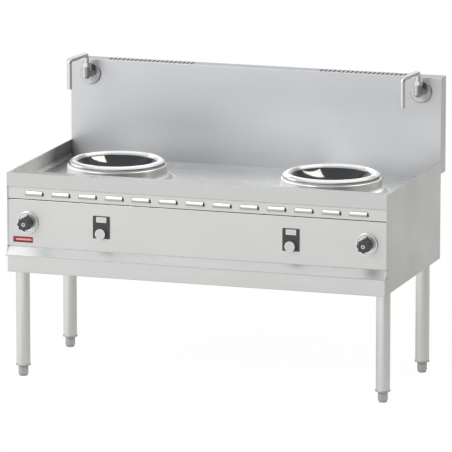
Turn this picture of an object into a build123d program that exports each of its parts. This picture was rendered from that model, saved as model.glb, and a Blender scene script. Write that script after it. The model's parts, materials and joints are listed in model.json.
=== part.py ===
from build123d import *
import os
from math import cos, radians, sin, sqrt

os.makedirs("parts", exist_ok=True)

# Free-standing induction wok range with two wok places, a splashback and two swivel taps.
# Millimetres. X runs along the front to the right, Y runs from the cook to the wall, Z is up.
# The origin is on the floor, under the middle of the whole range.

# ---------------------------------------------------------------- driving dimensions
# Body
worktop_width = 1600.0
cabinet_depth = 780.0
leg_clearance = 451.5
skirt_height = 67.5
slant_height = 33.5
control_height = 193.5
panel_gap = 4.0
strip_height = 48.0
rail_height = 58.0
skirt_reach = 21.0
strip_setback = 8.0
panel_setback = 15.0
worktop_sheet = 2.0
body_sheet = 1.5
bend_radius = 2.5
rail_return = 15.0
panel_return = 20.0
foot_return = 20.0

# Pan sunk in the worktop
front_ledge = 56.0
side_rim = 4.0
recess_depth = 70.0
pan_bend = 18.0
pan_corner = 24.0
pan_lip = 2.5

# Splashback box
splash_rise = 343.0
splash_depth = 69.0
splash_drop = 54.0
splash_overlap = 42.0
cover_sheet = 1.2
vent_slot_count = 20
vent_slot_pitch = 18.8
vent_slot_width = 8.5
vent_slot_length = 46.0

# Louvres
louvre_inset = 70.0
louvre_pitch = 114.0
louvre_length = 80.0
louvre_height = 20.0
louvre_reach = 8.0
louvre_sheet = 1.2
louvre_drop = 33.0

# Wok places
wok_spacing = 915.0
wok_setback = 373.0
ring_outer_radius = 198.0
ring_width = 36.0
ring_groove = 5.0
ring_inner_lip = 2.5
ring_lip_height = 15.0
ring_funnel_width = 11.0
ring_crown_width = 10.0
ring_crown_fall = 0.5
ring_fall = 8.0
ring_sheet = 2.0
ring_lip_bend = 3.0
ring_crest_bend = 5.0
ring_crown_bend = 20.0
ring_edge_bend = 7.0
ring_seal_width = 8.0
ring_seal_inset = 0.5
collar_height = 59.0
collar_step = 5.5
collar_draft = 1.0
collar_flare = 38.0
collar_foot_bend = 34.0
collar_shoulder_bend = 5.0
weld_gap = 0.05
bowl_gap = 2.0
bowl_depth = 80.0
bowl_glass = 5.0
bowl_flange_width = 20.0
bowl_flange = 4.0
seal_width = 12.0
seal_height = 1.0
coil_gap = 1.5
coil_thickness = 7.0
coil_inner_angle = 10.0
coil_outer_angle = 44.0
carrier_gap = 0.3
carrier_thickness = 3.0
carrier_hole_angle = 6.0
carrier_inset = 3.0
hanger_inset = 9.0
hanger_radius = 5.0
hanger_count = 4

# Frame and legs
beam_rise = 55.0
beam_height = 40.0
side_beam_width = 60.0
end_beam_width = 40.0
beam_wall = 2.0
beam_front_gap = 3.0
crossbar_width = 30.0
crossbar_spread = 200.0
upright_side = 28.0
upright_setback = 90.0
leg_inset = 36.0
leg_front_setback = 84.5
leg_rear_inset = 129.5
leg_radius = 28.5
leg_wall = 1.5
leg_hole_gap = 1.5
socket_plate = 6.0
socket_plate_width = 56.0
socket_plate_length = 90.0
socket_depth = 30.0
socket_fit = 0.1
foot_height = 45.0
foot_across_corners = 41.0
foot_pad_radius = 17.0
foot_pad_height = 8.0
foot_chamfer = 2.0
foot_thread_radius = 6.0
foot_thread_length = 48.0
thread_fit = 0.05
insert_flange = 5.0
insert_flange_radius = 31.0
insert_depth = 35.0

# Controls
plate_offset = 57.5
plate_rise = 98.5
plate_width = 71.0
plate_height = 92.0
plate_thickness = 3.0
plate_corner = 2.0
display_rise = 31.0
display_width = 43.5
display_height = 22.0
display_thickness = 2.6
display_fit = 0.1
power_knob_drop = 25.0
power_knob_radius = 21.75
power_knob_depth = 17.0
power_knob_gap = 0.6
power_knob_edge = 2.5
power_shaft_radius = 3.0
shaft_fit = 0.05
shaft_depth = 14.0
encoder_side = 24.0
encoder_depth = 18.0
nameplate_inset = 64.0
nameplate_rise = 28.5
nameplate_width = 84.0
nameplate_height = 24.0
nameplate_thickness = 1.0

# Taps and their water path
tap_inset = 85.0
tap_knob_rise = 99.5
tap_knob_reach = 55.0
tap_knob_radius = 27.5
tap_knob_thickness = 36.0
tap_lobe_count = 8
tap_lobe_radius = 7.0
tap_lobe_depth = 3.5
tap_knob_edge = 2.5
tap_cap_radius = 9.0
tap_cap_height = 1.5
tap_neck_radius = 13.0
tap_neck_gap = 0.5
tap_spindle_radius = 5.0
tap_spindle_depth = 24.0
bezel_radius = 46.0
bezel_depth = 8.0
bezel_dish = 2.0
bezel_rim = 5.0
spindle_hole_gap = 1.5
valve_radius = 16.0
valve_length = 56.0
valve_inlet_radius = 11.0
valve_inlet_drop = 26.0
valve_inlet_setback = 40.0
pipe_radius = 7.5
pipe_wall = 1.0
pipe_bend = 26.0
pipe_hole_gap = 1.0
riser_turn_gap = 38.0
riser_exit_drop = 41.0
riser_setback = 35.0
riser_end_gap = 4.5
supply_rise = 20.0
union_thread_radius = 10.5
union_thread_length = 16.0
union_hex = 30.0
union_hex_depth = 8.0
union_fit = 0.1
tap_rise = 283.0
flange_radius = 46.0
flange_thickness = 7.0
flange_edge = 3.5
flange_screw_inset = 11.0
flange_screw_radius = 3.6
flange_screw_head = 2.0
tap_axis_gap = 50.0
tap_stem_radius = 9.5
tap_stem_fit = 0.1
tap_union_hex = 28.0
tap_union_depth = 14.0
tap_branch_radius = 13.0
tap_body_radius = 15.0
tap_body_drop = 15.0
tap_body_rise = 41.0
tap_body_edge = 12.0
tap_socket_depth = 20.0
tap_nut_hex = 34.0
tap_nut_height = 17.0
tap_nut_overlap = 4.5
spout_radius = 10.65
spout_wall = 1.2
spout_fit = 0.05
spout_bead_radius = 12.3
spout_bead_height = 4.0
spout_arm_rise = 86.0
spout_reach = 157.0
spout_outlet_drop = 34.0
spout_bend = 13.0
spout_turn = 7.0

# Electrics
generator_width = 300.0
generator_depth = 400.0
generator_height = 150.0
generator_setback = 130.0
generator_sheet = 1.5
generator_slot_count = 9
generator_slot_pitch = 14.0
generator_slot_width = 6.0
generator_slot_length = 180.0
heat_sink_width = 180.0
heat_sink_length = 280.0
heat_sink_base = 6.0
fin_count = 10
fin_height = 46.0
fin_thickness = 2.5
fan_side = 120.0
fan_depth = 38.0
fan_bore_radius = 57.5
fan_hub_radius = 20.0
fan_strut_width = 5.0
fan_strut_depth = 4.0
fan_pin_radius = 4.0
fan_pin_length = 22.0
fan_rotor_length = 28.0
fan_rotor_gap = 2.0
fan_tip_radius = 54.0
fan_blade_count = 7
fan_blade_chord = 28.0
fan_blade_thickness = 1.6
fan_blade_pitch = 38.0
terminal_width = 140.0
terminal_height = 100.0
terminal_depth = 60.0
terminal_rise = 148.0
gland_bore_radius = 9.0
gland_barrel_radius = 12.0
gland_flange_radius = 18.0
gland_hex = 30.0
gland_length = 26.0
gland_flange = 3.0
gland_locknut = 5.0
gland_fit = 0.1
air_slot_width = 6.0
air_slot_length = 60.0
air_slot_pitch_x = 72.0
air_slot_pitch_y = 16.0
air_slot_columns = 4
air_slot_rows = 8
screw_head_radius = 4.5
screw_head_height = 2.0
screw_edge_inset = 8.0
cover_screw_columns = 8
cut_margin = 5.0

# ---------------------------------------------------------------- levels and places
half_width = worktop_width / 2
inner_half = half_width - body_sheet
body_bottom = leg_clearance
skirt_top = body_bottom + skirt_height
panel_bottom = skirt_top + slant_height
panel_top = panel_bottom + control_height
strip_bottom = panel_top + panel_gap
rail_bottom = strip_bottom + strip_height
rim_top = rail_bottom + rail_height
pan_floor = rim_top - recess_depth
pan_underside = pan_floor - worktop_sheet
splash_top = rim_top + splash_rise
splash_bottom = rim_top - splash_drop

front_reach = max(tap_knob_reach - panel_setback, skirt_reach)
rear_reach = cabinet_depth + splash_depth + screw_head_height
front = (front_reach - rear_reach) / 2
panel_face = front + panel_setback
panel_back = panel_face + body_sheet
strip_face = front + strip_setback
skirt_face = front - skirt_reach
cabinet_rear = front + cabinet_depth
rear_sheet_face = cabinet_rear - body_sheet
splash_rear = cabinet_rear + splash_depth
cover_front = splash_rear - cover_sheet

wok_y = front + wok_setback
wok_centre = wok_spacing / 2
louvre_count = 1 + int((worktop_width - 2 * louvre_inset - louvre_length) // louvre_pitch)
collar_top_radius = ring_outer_radius + collar_step
collar_base_radius = collar_top_radius + collar_draft
collar_foot_radius = collar_base_radius + collar_flare
ring_inner_radius = ring_outer_radius - ring_width
bowl_radius = ring_inner_radius - bowl_gap
bowl_flange_radius = bowl_radius + bowl_flange_width
collar_seat_radius = bowl_flange_radius - seal_width
carrier_flange_radius = ring_outer_radius - carrier_inset
hanger_circle = carrier_flange_radius - hanger_inset
collar_seat = pan_floor + collar_height
bowl_rim = collar_seat + seal_height + bowl_flange
bowl_sphere = (bowl_radius**2 + bowl_depth**2) / (2 * bowl_depth)
bowl_centre = bowl_rim - bowl_depth + bowl_sphere
ring_foot = collar_seat + ring_groove

base_sheet_bottom = body_bottom + body_sheet
beam_bottom = body_bottom + beam_rise
beam_top = beam_bottom + beam_height
side_beam_x = inner_half - side_beam_width / 2
leg_x = half_width - leg_inset
leg_rear_setback = cabinet_depth - leg_rear_inset
leg_top = beam_bottom - socket_plate
leg_bottom = foot_height + insert_flange
upright_x = inner_half - side_beam_width + upright_side / 2

power_spacing = wok_spacing - 2 * plate_offset
nameplate_x = -(half_width - nameplate_inset)
plate_z = panel_bottom + plate_rise
display_z = plate_z + display_rise
power_knob_z = plate_z - power_knob_drop
tap_spacing = worktop_width - 2 * tap_inset
tap_x = tap_spacing / 2
tap_knob_z = panel_bottom + tap_knob_rise
supply_z = beam_top + supply_rise
tap_z = rim_top + tap_rise
tap_y = cabinet_rear - tap_axis_gap
flange_screw_circle = flange_radius - flange_screw_inset
tap_body_top = tap_z + tap_body_rise
tap_nut_bottom = tap_body_top - tap_nut_overlap
terminal_z = body_bottom + terminal_rise
fan_z = beam_top + generator_height / 2
generator_front = front + generator_setback
generator_rear = generator_front + generator_depth

sides = (("left", -1), ("right", 1))
leg_places = (("front_left", -leg_x, front + leg_front_setback),
              ("front_right", leg_x, front + leg_front_setback),
              ("rear_left", -leg_x, front + leg_rear_setback),
              ("rear_right", leg_x, front + leg_rear_setback))


def facing_front(y):
    """Upright plane at depth y, seen by the cook: x to the right, y up, normal to the cook."""
    return Plane.XZ.offset(-y)


def across(x):
    """Plane across the range at x: x to the wall, y up, normal to the right."""
    return Plane.YZ.offset(x)


def radial(x, y):
    """Upright plane through a vertical axis at (x, y): x is the radius, y is the height."""
    return Plane(origin=(x, y, 0), x_dir=(1, 0, 0), z_dir=(0, -1, 0))


def upright(x, y):
    return Axis((x, y, 0), (0, 0, 1))


def on_bowl(radius, angle):
    """Radius and height of a point of the bowl's sphere family, at an angle from straight down."""
    turn = radians(angle)
    return (radius * sin(turn), bowl_centre - radius * cos(turn))


# ---------------------------------------------------------------- worktop
def recess_block(grow, top, far):
    """The sunk pan as a solid block, with its walls and floor moved outward by grow."""
    near = front + front_ledge - grow
    wide = 2 * (half_width - side_rim + grow)
    low = pan_floor - grow
    with BuildPart() as block:
        with BuildSketch(Plane.XY.offset(low)):
            with Locations((0, (near + far) / 2)):
                Rectangle(wide, far - near)
        extrude(amount=top - low)
        corners = block.edges().filter_by(Axis.Z).group_by(Axis.Y)[0]
        fillet(corners, radius=pan_corner + grow)
        floor_edges = block.edges().group_by(Axis.Z)[0]
        bends = [edge for edge in floor_edges if edge.center().Y < far - cut_margin / 10]
        fillet(bends, radius=pan_bend + grow)
    return block.part


pan_outside = recess_block(worktop_sheet, rim_top - worktop_sheet, cabinet_rear)
pan_inside = recess_block(0, rim_top + cut_margin, cabinet_rear + cut_margin)

with BuildPart() as worktop_pan:
    with BuildSketch(Plane.XY.offset(rim_top - worktop_sheet)):
        with Locations((0, front + cabinet_depth / 2)):
            Rectangle(worktop_width, cabinet_depth)
    extrude(amount=worktop_sheet)
    with BuildSketch(Plane.XY.offset(rail_bottom)):
        with Locations((0, front + worktop_sheet / 2)):
            Rectangle(worktop_width, worktop_sheet)
    extrude(amount=rail_height)
    with BuildSketch(Plane.XY.offset(rail_bottom)):
        with Locations((0, front + worktop_sheet + rail_return / 2)):
            Rectangle(2 * inner_half, rail_return)
    extrude(amount=worktop_sheet)
    add(pan_outside)
    add(pan_inside, mode=Mode.SUBTRACT)
    with BuildSketch(Plane.XY.offset(pan_floor)):
        with Locations((0, wok_y)):
            with GridLocations(wok_spacing, 0, 2, 1):
                Circle(collar_foot_radius + weld_gap)
    extrude(amount=-2 * worktop_sheet, mode=Mode.SUBTRACT)
    rim_edges = worktop_pan.edges().filter_by_position(Axis.Z, rim_top, rim_top)
    recess_rim = [edge for edge in rim_edges
                  if front + front_ledge / 2 < edge.center().Y < cabinet_rear - cut_margin
                  and abs(edge.center().X) < half_width - side_rim / 2]
    fillet(recess_rim, radius=pan_lip)
    rail_edges = worktop_pan.edges().filter_by(Axis.X).filter_by_position(Axis.Y, front, front)
    fillet(rail_edges, radius=bend_radius)
worktop_pan.part.label = "worktop_pan"
export_step(worktop_pan.part, "parts/worktop_pan.step")

# ---------------------------------------------------------------- wok places
for side, sign in sides:
    wok_x = sign * wok_centre
    section = radial(wok_x, wok_y)
    axis = upright(wok_x, wok_y)

    with BuildPart() as wok_collar:
        with BuildSketch(section):
            with BuildLine():
                FilletPolyline((collar_foot_radius, pan_floor),
                               (collar_base_radius, pan_floor),
                               (collar_top_radius, collar_seat),
                               (collar_seat_radius, collar_seat),
                               radius=[collar_foot_bend, collar_shoulder_bend])
                offset(amount=worktop_sheet, side=Side.LEFT)
            make_face()
        revolve(axis=axis)
    wok_collar.part.label = f"{side}_wok_collar"
    export_step(wok_collar.part, f"parts/{side}_wok_collar.step")

    ring_crest = bowl_rim + ring_lip_height
    funnel_top = ring_inner_radius + ring_funnel_width
    with BuildPart() as wok_ring:
        with BuildSketch(section):
            with BuildLine():
                FilletPolyline((ring_inner_radius, bowl_rim),
                               (ring_inner_radius, bowl_rim + ring_inner_lip),
                               (funnel_top, ring_crest),
                               (funnel_top + ring_crown_width, ring_crest - ring_crown_fall),
                               (ring_outer_radius, ring_crest - ring_fall),
                               (ring_outer_radius, ring_foot),
                               radius=[ring_lip_bend, ring_crest_bend, ring_crown_bend, ring_edge_bend])
                offset(amount=ring_sheet, side=Side.RIGHT)
            make_face()
        revolve(axis=axis)
    wok_ring.part.label = f"{side}_wok_ring"
    export_step(wok_ring.part, f"parts/{side}_wok_ring.step")

    outer_sphere = bowl_sphere + bowl_glass
    flange_foot = bowl_rim - bowl_flange
    flange_start = sqrt(outer_sphere**2 - (bowl_centre - flange_foot)**2)
    bowl_rise = bowl_centre - bowl_sphere
    with BuildPart() as glass_bowl:
        with BuildSketch(section):
            with BuildLine():
                RadiusArc((0, bowl_rise), (bowl_radius, bowl_rim), -bowl_sphere)
                Polyline((bowl_radius, bowl_rim), (bowl_flange_radius, bowl_rim),
                         (bowl_flange_radius, flange_foot), (flange_start, flange_foot))
                RadiusArc((0, bowl_rise - bowl_glass), (flange_start, flange_foot), -outer_sphere)
                Line((0, bowl_rise), (0, bowl_rise - bowl_glass))
            make_face()
        revolve(axis=axis)
    glass_bowl.part.label = f"{side}_glass_bowl"
    export_step(glass_bowl.part, f"parts/{side}_glass_bowl.step")

with BuildPart() as bowl_seals:
    with BuildSketch(Plane.XY.offset(collar_seat)):
        with Locations((0, wok_y)):
            with GridLocations(wok_spacing, 0, 2, 1):
                Circle(bowl_flange_radius)
                Circle(collar_seat_radius, mode=Mode.SUBTRACT)
    extrude(amount=seal_height)
    with BuildSketch(Plane.XY.offset(collar_seat)):
        with Locations((0, wok_y)):
            with GridLocations(wok_spacing, 0, 2, 1):
                Circle(ring_outer_radius - ring_seal_inset)
                Circle(ring_outer_radius - ring_seal_inset - ring_seal_width, mode=Mode.SUBTRACT)
    extrude(amount=ring_groove)
bowl_seals.part.label = "bowl_seals"
export_step(bowl_seals.part, "parts/bowl_seals.step")

coil_inside = bowl_sphere + bowl_glass + coil_gap
coil_outside = coil_inside + coil_thickness
coil_middle_angle = (coil_inner_angle + coil_outer_angle) / 2
with BuildPart() as induction_coils:
    for side, sign in sides:
        wok_x = sign * wok_centre
        with BuildSketch(radial(wok_x, wok_y)):
            with BuildLine():
                ThreePointArc(on_bowl(coil_inside, coil_inner_angle),
                              on_bowl(coil_inside, coil_middle_angle),
                              on_bowl(coil_inside, coil_outer_angle))
                Line(on_bowl(coil_inside, coil_outer_angle), on_bowl(coil_outside, coil_outer_angle))
                ThreePointArc(on_bowl(coil_outside, coil_outer_angle),
                              on_bowl(coil_outside, coil_middle_angle),
                              on_bowl(coil_outside, coil_inner_angle))
                Line(on_bowl(coil_outside, coil_inner_angle), on_bowl(coil_inside, coil_inner_angle))
            make_face()
        revolve(axis=upright(wok_x, wok_y))
induction_coils.part.label = "induction_coils"
export_step(induction_coils.part, "parts/induction_coils.step")

carrier_inside = coil_outside + carrier_gap
carrier_outside = carrier_inside + carrier_thickness
carrier_top = on_bowl(carrier_inside, coil_outer_angle)[1]
carrier_foot = carrier_top - carrier_thickness
carrier_start = sqrt(carrier_outside**2 - (bowl_centre - carrier_foot)**2)
with BuildPart() as coil_carriers:
    for side, sign in sides:
        wok_x = sign * wok_centre
        with BuildSketch(radial(wok_x, wok_y)):
            with BuildLine():
                RadiusArc(on_bowl(carrier_inside, carrier_hole_angle),
                          on_bowl(carrier_inside, coil_outer_angle), -carrier_inside)
                Polyline(on_bowl(carrier_inside, coil_outer_angle),
                         (carrier_flange_radius, carrier_top),
                         (carrier_flange_radius, carrier_foot),
                         (carrier_start, carrier_foot))
                RadiusArc(on_bowl(carrier_outside, carrier_hole_angle),
                          (carrier_start, carrier_foot), -carrier_outside)
                Line(on_bowl(carrier_inside, carrier_hole_angle),
                     on_bowl(carrier_outside, carrier_hole_angle))
            make_face()
        revolve(axis=upright(wok_x, wok_y))
        with BuildSketch(Plane.XY.offset(carrier_top)):
            with Locations((wok_x, wok_y)):
                with PolarLocations(hanger_circle, hanger_count, start_angle=45):
                    Circle(hanger_radius)
        extrude(amount=collar_seat - worktop_sheet - carrier_top)
coil_carriers.part.label = "coil_carriers"
export_step(coil_carriers.part, "parts/coil_carriers.step")

# ---------------------------------------------------------------- side panels
for side, sign in sides:
    with BuildPart() as side_panel:
        with BuildSketch(across(sign * half_width)):
            Polygon((skirt_face, body_bottom), (cabinet_rear, body_bottom),
                    (cabinet_rear, rim_top - worktop_sheet),
                    (front + worktop_sheet, rim_top - worktop_sheet),
                    (front + worktop_sheet, rail_bottom), (front, rail_bottom),
                    (front, panel_bottom), (skirt_face, skirt_top), align=None)
        extrude(amount=-sign * body_sheet)
        with BuildSketch(Plane.XY.offset(body_bottom)):
            with Locations((sign * (inner_half - foot_return / 2), (panel_back + rear_sheet_face) / 2)):
                Rectangle(foot_return, rear_sheet_face - panel_back)
            for place, x, y in leg_places:
                with Locations((x, y)):
                    Circle(leg_radius + leg_hole_gap, mode=Mode.SUBTRACT)
        extrude(amount=body_sheet)
    side_panel.part.label = f"{side}_side_panel"
    export_step(side_panel.part, f"parts/{side}_side_panel.step")


# ---------------------------------------------------------------- louvre strip
def louvre_block(shrink, depth):
    """One louvre hood as a solid, its skin moved inward by shrink, reaching depth behind the face."""
    reach = louvre_reach - shrink
    tall = louvre_height - shrink
    straight = louvre_length / 2 - louvre_reach
    lip = rail_bottom - louvre_drop
    with BuildPart() as block:
        with BuildSketch(across(-straight)):
            with BuildLine():
                EllipticalCenterArc((strip_face, lip), reach, tall, arc_size=180)
                Line((strip_face - reach, lip), (strip_face + reach, lip))
            make_face()
        extrude(amount=2 * straight)
        for side, sign in sides:
            with BuildSketch(across(sign * straight)):
                with BuildLine():
                    EllipticalCenterArc((strip_face, lip), reach, tall, start_angle=90, arc_size=90)
                    Polyline((strip_face - reach, lip), (strip_face, lip), (strip_face, lip + tall))
                make_face()
            revolve(axis=Axis((sign * straight, strip_face, 0), (0, 0, sign)), revolution_arc=180)
        with BuildSketch(Plane.XY.offset(lip)):
            with Locations((0, strip_face + (depth - reach) / 2)):
                Rectangle(louvre_length, depth + reach)
        extrude(amount=tall, mode=Mode.INTERSECT)
    return block.part


louvre_skin = louvre_block(0, body_sheet / 2)
louvre_hollow = louvre_block(louvre_sheet, body_sheet)
louvre_places = [(louvre_pitch * (i - (louvre_count - 1) / 2), 0, 0) for i in range(louvre_count)]
with BuildPart() as louvre_strip:
    with BuildSketch(facing_front(strip_face + body_sheet)):
        with Locations((0, (strip_bottom + rail_bottom) / 2)):
            Rectangle(2 * inner_half, strip_height)
    extrude(amount=body_sheet)
    with BuildSketch(Plane.XY.offset(strip_bottom)):
        with Locations((0, strip_face + body_sheet + panel_return / 2)):
            Rectangle(2 * inner_half, panel_return)
    extrude(amount=body_sheet)
    with Locations(*louvre_places):
        add(louvre_skin)
    with Locations(*louvre_places):
        add(louvre_hollow, mode=Mode.SUBTRACT)
louvre_strip.part.label = "louvre_strip"
export_step(louvre_strip.part, "parts/louvre_strip.step")

# ---------------------------------------------------------------- front panel
with BuildPart() as front_panel:
    with BuildSketch(across(-inner_half)):
        with BuildLine():
            FilletPolyline((panel_back + panel_return, panel_top), (panel_face, panel_top),
                           (panel_face, panel_bottom), (skirt_face, skirt_top),
                           (skirt_face, body_bottom), (skirt_face + panel_return, body_bottom),
                           radius=bend_radius)
            offset(amount=body_sheet, side=Side.LEFT)
        make_face()
    extrude(amount=2 * inner_half)
    with BuildSketch(facing_front(panel_back)):
        with Locations((0, tap_knob_z)):
            with GridLocations(tap_spacing, 0, 2, 1):
                Circle(tap_spindle_radius + spindle_hole_gap)
        with Locations((0, power_knob_z)):
            with GridLocations(power_spacing, 0, 2, 1):
                Circle(power_shaft_radius + spindle_hole_gap)
    extrude(amount=body_sheet, mode=Mode.SUBTRACT)
front_panel.part.label = "front_panel"
export_step(front_panel.part, "parts/front_panel.step")

# ---------------------------------------------------------------- rear and base panels
riser_exit_z = pan_floor - riser_exit_drop
with BuildPart() as back_panel:
    with BuildSketch(facing_front(cabinet_rear)):
        with Locations((0, (body_bottom + pan_underside) / 2)):
            Rectangle(2 * inner_half, pan_underside - body_bottom)
        with Locations((0, riser_exit_z)):
            with GridLocations(tap_spacing, 0, 2, 1):
                Circle(pipe_radius + pipe_hole_gap, mode=Mode.SUBTRACT)
        with Locations((0, supply_z)):
            with GridLocations(tap_spacing, 0, 2, 1):
                Circle(union_thread_radius + union_fit, mode=Mode.SUBTRACT)
        with Locations((0, terminal_z)):
            Circle(gland_barrel_radius + gland_fit, mode=Mode.SUBTRACT)
        with Locations((-wok_centre, fan_z), (wok_centre, fan_z)):
            with GridLocations(air_slot_pitch_x, air_slot_pitch_y, air_slot_columns, air_slot_rows):
                SlotOverall(air_slot_length, air_slot_width, mode=Mode.SUBTRACT)
    extrude(amount=body_sheet)
back_panel.part.label = "back_panel"
export_step(back_panel.part, "parts/back_panel.step")

base_front = skirt_face + bend_radius
with BuildPart() as base_panel:
    with BuildSketch(Plane.XY.offset(base_sheet_bottom)):
        with Locations((0, (base_front + rear_sheet_face) / 2)):
            Rectangle(2 * inner_half, rear_sheet_face - base_front)
        for place, x, y in leg_places:
            with Locations((x, y)):
                Circle(leg_radius + leg_hole_gap, mode=Mode.SUBTRACT)
        with Locations((-wok_centre, wok_y), (wok_centre, wok_y)):
            with GridLocations(air_slot_pitch_x, air_slot_pitch_y, air_slot_columns, air_slot_rows):
                SlotOverall(air_slot_length, air_slot_width, mode=Mode.SUBTRACT)
    extrude(amount=body_sheet)
base_panel.part.label = "base_panel"
export_step(base_panel.part, "parts/base_panel.step")

# ---------------------------------------------------------------- splashback
with BuildPart() as splashback_shell:
    with BuildSketch(facing_front(cabinet_rear + body_sheet)):
        with Locations((0, (splash_bottom - splash_overlap + splash_top) / 2)):
            Rectangle(worktop_width, splash_top - splash_bottom + splash_overlap)
    extrude(amount=body_sheet)
    with BuildSketch(Plane.XY.offset(splash_bottom)):
        with Locations((0, (cabinet_rear + cover_front) / 2)):
            Rectangle(worktop_width, cover_front - cabinet_rear)
            Rectangle(2 * inner_half, cover_front - cabinet_rear, mode=Mode.SUBTRACT)
    extrude(amount=splash_rise + splash_drop)
    with BuildSketch(Plane.XY.offset(splash_top - body_sheet)):
        with Locations((0, (cabinet_rear + cover_front) / 2)):
            Rectangle(worktop_width, cover_front - cabinet_rear)
        with Locations((-wok_centre, (cabinet_rear + splash_rear) / 2),
                       (wok_centre, (cabinet_rear + splash_rear) / 2)):
            with GridLocations(vent_slot_pitch, 0, vent_slot_count, 1):
                SlotOverall(vent_slot_length, vent_slot_width, rotation=90, mode=Mode.SUBTRACT)
    extrude(amount=body_sheet)
    with BuildSketch(facing_front(cabinet_rear + body_sheet)):
        with Locations((0, tap_z)):
            with GridLocations(tap_spacing, 0, 2, 1):
                Circle(tap_stem_radius + tap_stem_fit)
    extrude(amount=body_sheet, mode=Mode.SUBTRACT)
    front_edges = splashback_shell.edges().filter_by(Axis.X)
    front_edges = front_edges.filter_by_position(Axis.Y, cabinet_rear, cabinet_rear)
    fillet(front_edges.sort_by(Axis.Z)[-1], radius=bend_radius / 2)
splashback_shell.part.label = "splashback_shell"
export_step(splashback_shell.part, "parts/splashback_shell.step")

riser_y = cabinet_rear + riser_setback
with BuildPart() as splashback_cover:
    with BuildSketch(facing_front(splash_rear)):
        with Locations((0, (splash_bottom + splash_top) / 2)):
            Rectangle(worktop_width, splash_top - splash_bottom)
    extrude(amount=cover_sheet)
    with BuildSketch(Plane.XY.offset(splash_bottom)):
        with Locations((0, (cabinet_rear + body_sheet + cover_front) / 2)):
            Rectangle(2 * inner_half, cover_front - cabinet_rear - body_sheet)
        with Locations((0, riser_y)):
            with GridLocations(tap_spacing, 0, 2, 1):
                Circle(pipe_radius + pipe_hole_gap, mode=Mode.SUBTRACT)
    extrude(amount=cover_sheet)
splashback_cover.part.label = "splashback_cover"
export_step(splashback_cover.part, "parts/splashback_cover.step")

# ---------------------------------------------------------------- frame
beam_start = panel_back + beam_front_gap
with BuildPart() as side_beams:
    with BuildSketch(facing_front(rear_sheet_face)):
        with Locations((-side_beam_x, beam_bottom + beam_height / 2),
                       (side_beam_x, beam_bottom + beam_height / 2)):
            Rectangle(side_beam_width, beam_height)
            Rectangle(side_beam_width - 2 * beam_wall, beam_height - 2 * beam_wall, mode=Mode.SUBTRACT)
    extrude(amount=rear_sheet_face - beam_start)
side_beams.part.label = "side_beams"
export_step(side_beams.part, "parts/side_beams.step")

end_beam_half = inner_half - side_beam_width
leg_row_middle = front + (leg_front_setback + leg_rear_setback) / 2
leg_row_spacing = leg_rear_setback - leg_front_setback
with BuildPart() as end_beams:
    with BuildSketch(across(-end_beam_half)):
        with Locations((leg_row_middle, beam_bottom + beam_height / 2)):
            with GridLocations(leg_row_spacing, 0, 2, 1):
                Rectangle(end_beam_width, beam_height)
                Rectangle(end_beam_width - 2 * beam_wall, beam_height - 2 * beam_wall, mode=Mode.SUBTRACT)
    extrude(amount=2 * end_beam_half)
end_beams.part.label = "end_beams"
export_step(end_beams.part, "parts/end_beams.step")

crossbar_length = leg_row_spacing - end_beam_width
with BuildPart() as crossbars:
    with BuildSketch(facing_front(leg_row_middle + crossbar_length / 2)):
        with Locations((-wok_centre, beam_bottom + beam_height / 2),
                       (wok_centre, beam_bottom + beam_height / 2)):
            with GridLocations(crossbar_spread, 0, 2, 1):
                Rectangle(crossbar_width, beam_height)
                Rectangle(crossbar_width - 2 * beam_wall, beam_height - 2 * beam_wall, mode=Mode.SUBTRACT)
    extrude(amount=crossbar_length)
crossbars.part.label = "crossbars"
export_step(crossbars.part, "parts/crossbars.step")

upright_rear = rear_sheet_face - upright_side / 2
with BuildPart() as uprights:
    with BuildSketch(Plane.XY.offset(beam_top)):
        with Locations((-upright_x, front + upright_setback), (upright_x, front + upright_setback),
                       (-upright_x, upright_rear), (upright_x, upright_rear)):
            Rectangle(upright_side, upright_side)
            Rectangle(upright_side - 2 * beam_wall, upright_side - 2 * beam_wall, mode=Mode.SUBTRACT)
    extrude(amount=pan_underside - beam_top)
uprights.part.label = "uprights"
export_step(uprights.part, "parts/uprights.step")

# ---------------------------------------------------------------- legs and feet
for place, x, y in leg_places:
    with BuildPart() as leg:
        with BuildSketch(Plane.XY.offset(leg_bottom)):
            with Locations((x, y)):
                Circle(leg_radius)
                Circle(leg_radius - leg_wall, mode=Mode.SUBTRACT)
        extrude(amount=leg_top - leg_bottom)
    leg.part.label = f"{place}_leg"
    export_step(leg.part, f"parts/{place}_leg.step")

    with BuildPart() as foot:
        with BuildSketch(Plane.XY):
            with Locations((x, y)):
                Circle(foot_pad_radius)
        extrude(amount=foot_pad_height)
        with BuildSketch(Plane.XY.offset(foot_pad_height)):
            with Locations((x, y)):
                RegularPolygon(foot_across_corners / 2, 6, rotation=30)
        extrude(amount=foot_height - foot_pad_height)
        pad_rim = foot.edges().filter_by(GeomType.CIRCLE).group_by(Axis.Z)[0]
        fillet(pad_rim, radius=foot_chamfer)
        with BuildSketch(Plane.XY.offset(foot_height)):
            with Locations((x, y)):
                Circle(foot_thread_radius)
        extrude(amount=foot_thread_length)
    foot.part.label = f"{place}_foot"
    export_step(foot.part, f"parts/{place}_foot.step")

leg_points = [(x, y) for place, x, y in leg_places]
with BuildPart() as leg_inserts:
    with BuildSketch(Plane.XY.offset(foot_height)):
        with Locations(*leg_points):
            Circle(insert_flange_radius)
            Circle(foot_thread_radius + thread_fit, mode=Mode.SUBTRACT)
    extrude(amount=insert_flange)
    with BuildSketch(Plane.XY.offset(leg_bottom)):
        with Locations(*leg_points):
            Circle(leg_radius - leg_wall - socket_fit)
            Circle(foot_thread_radius + thread_fit, mode=Mode.SUBTRACT)
    extrude(amount=insert_depth)
leg_inserts.part.label = "leg_inserts"
export_step(leg_inserts.part, "parts/leg_inserts.step")

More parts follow.
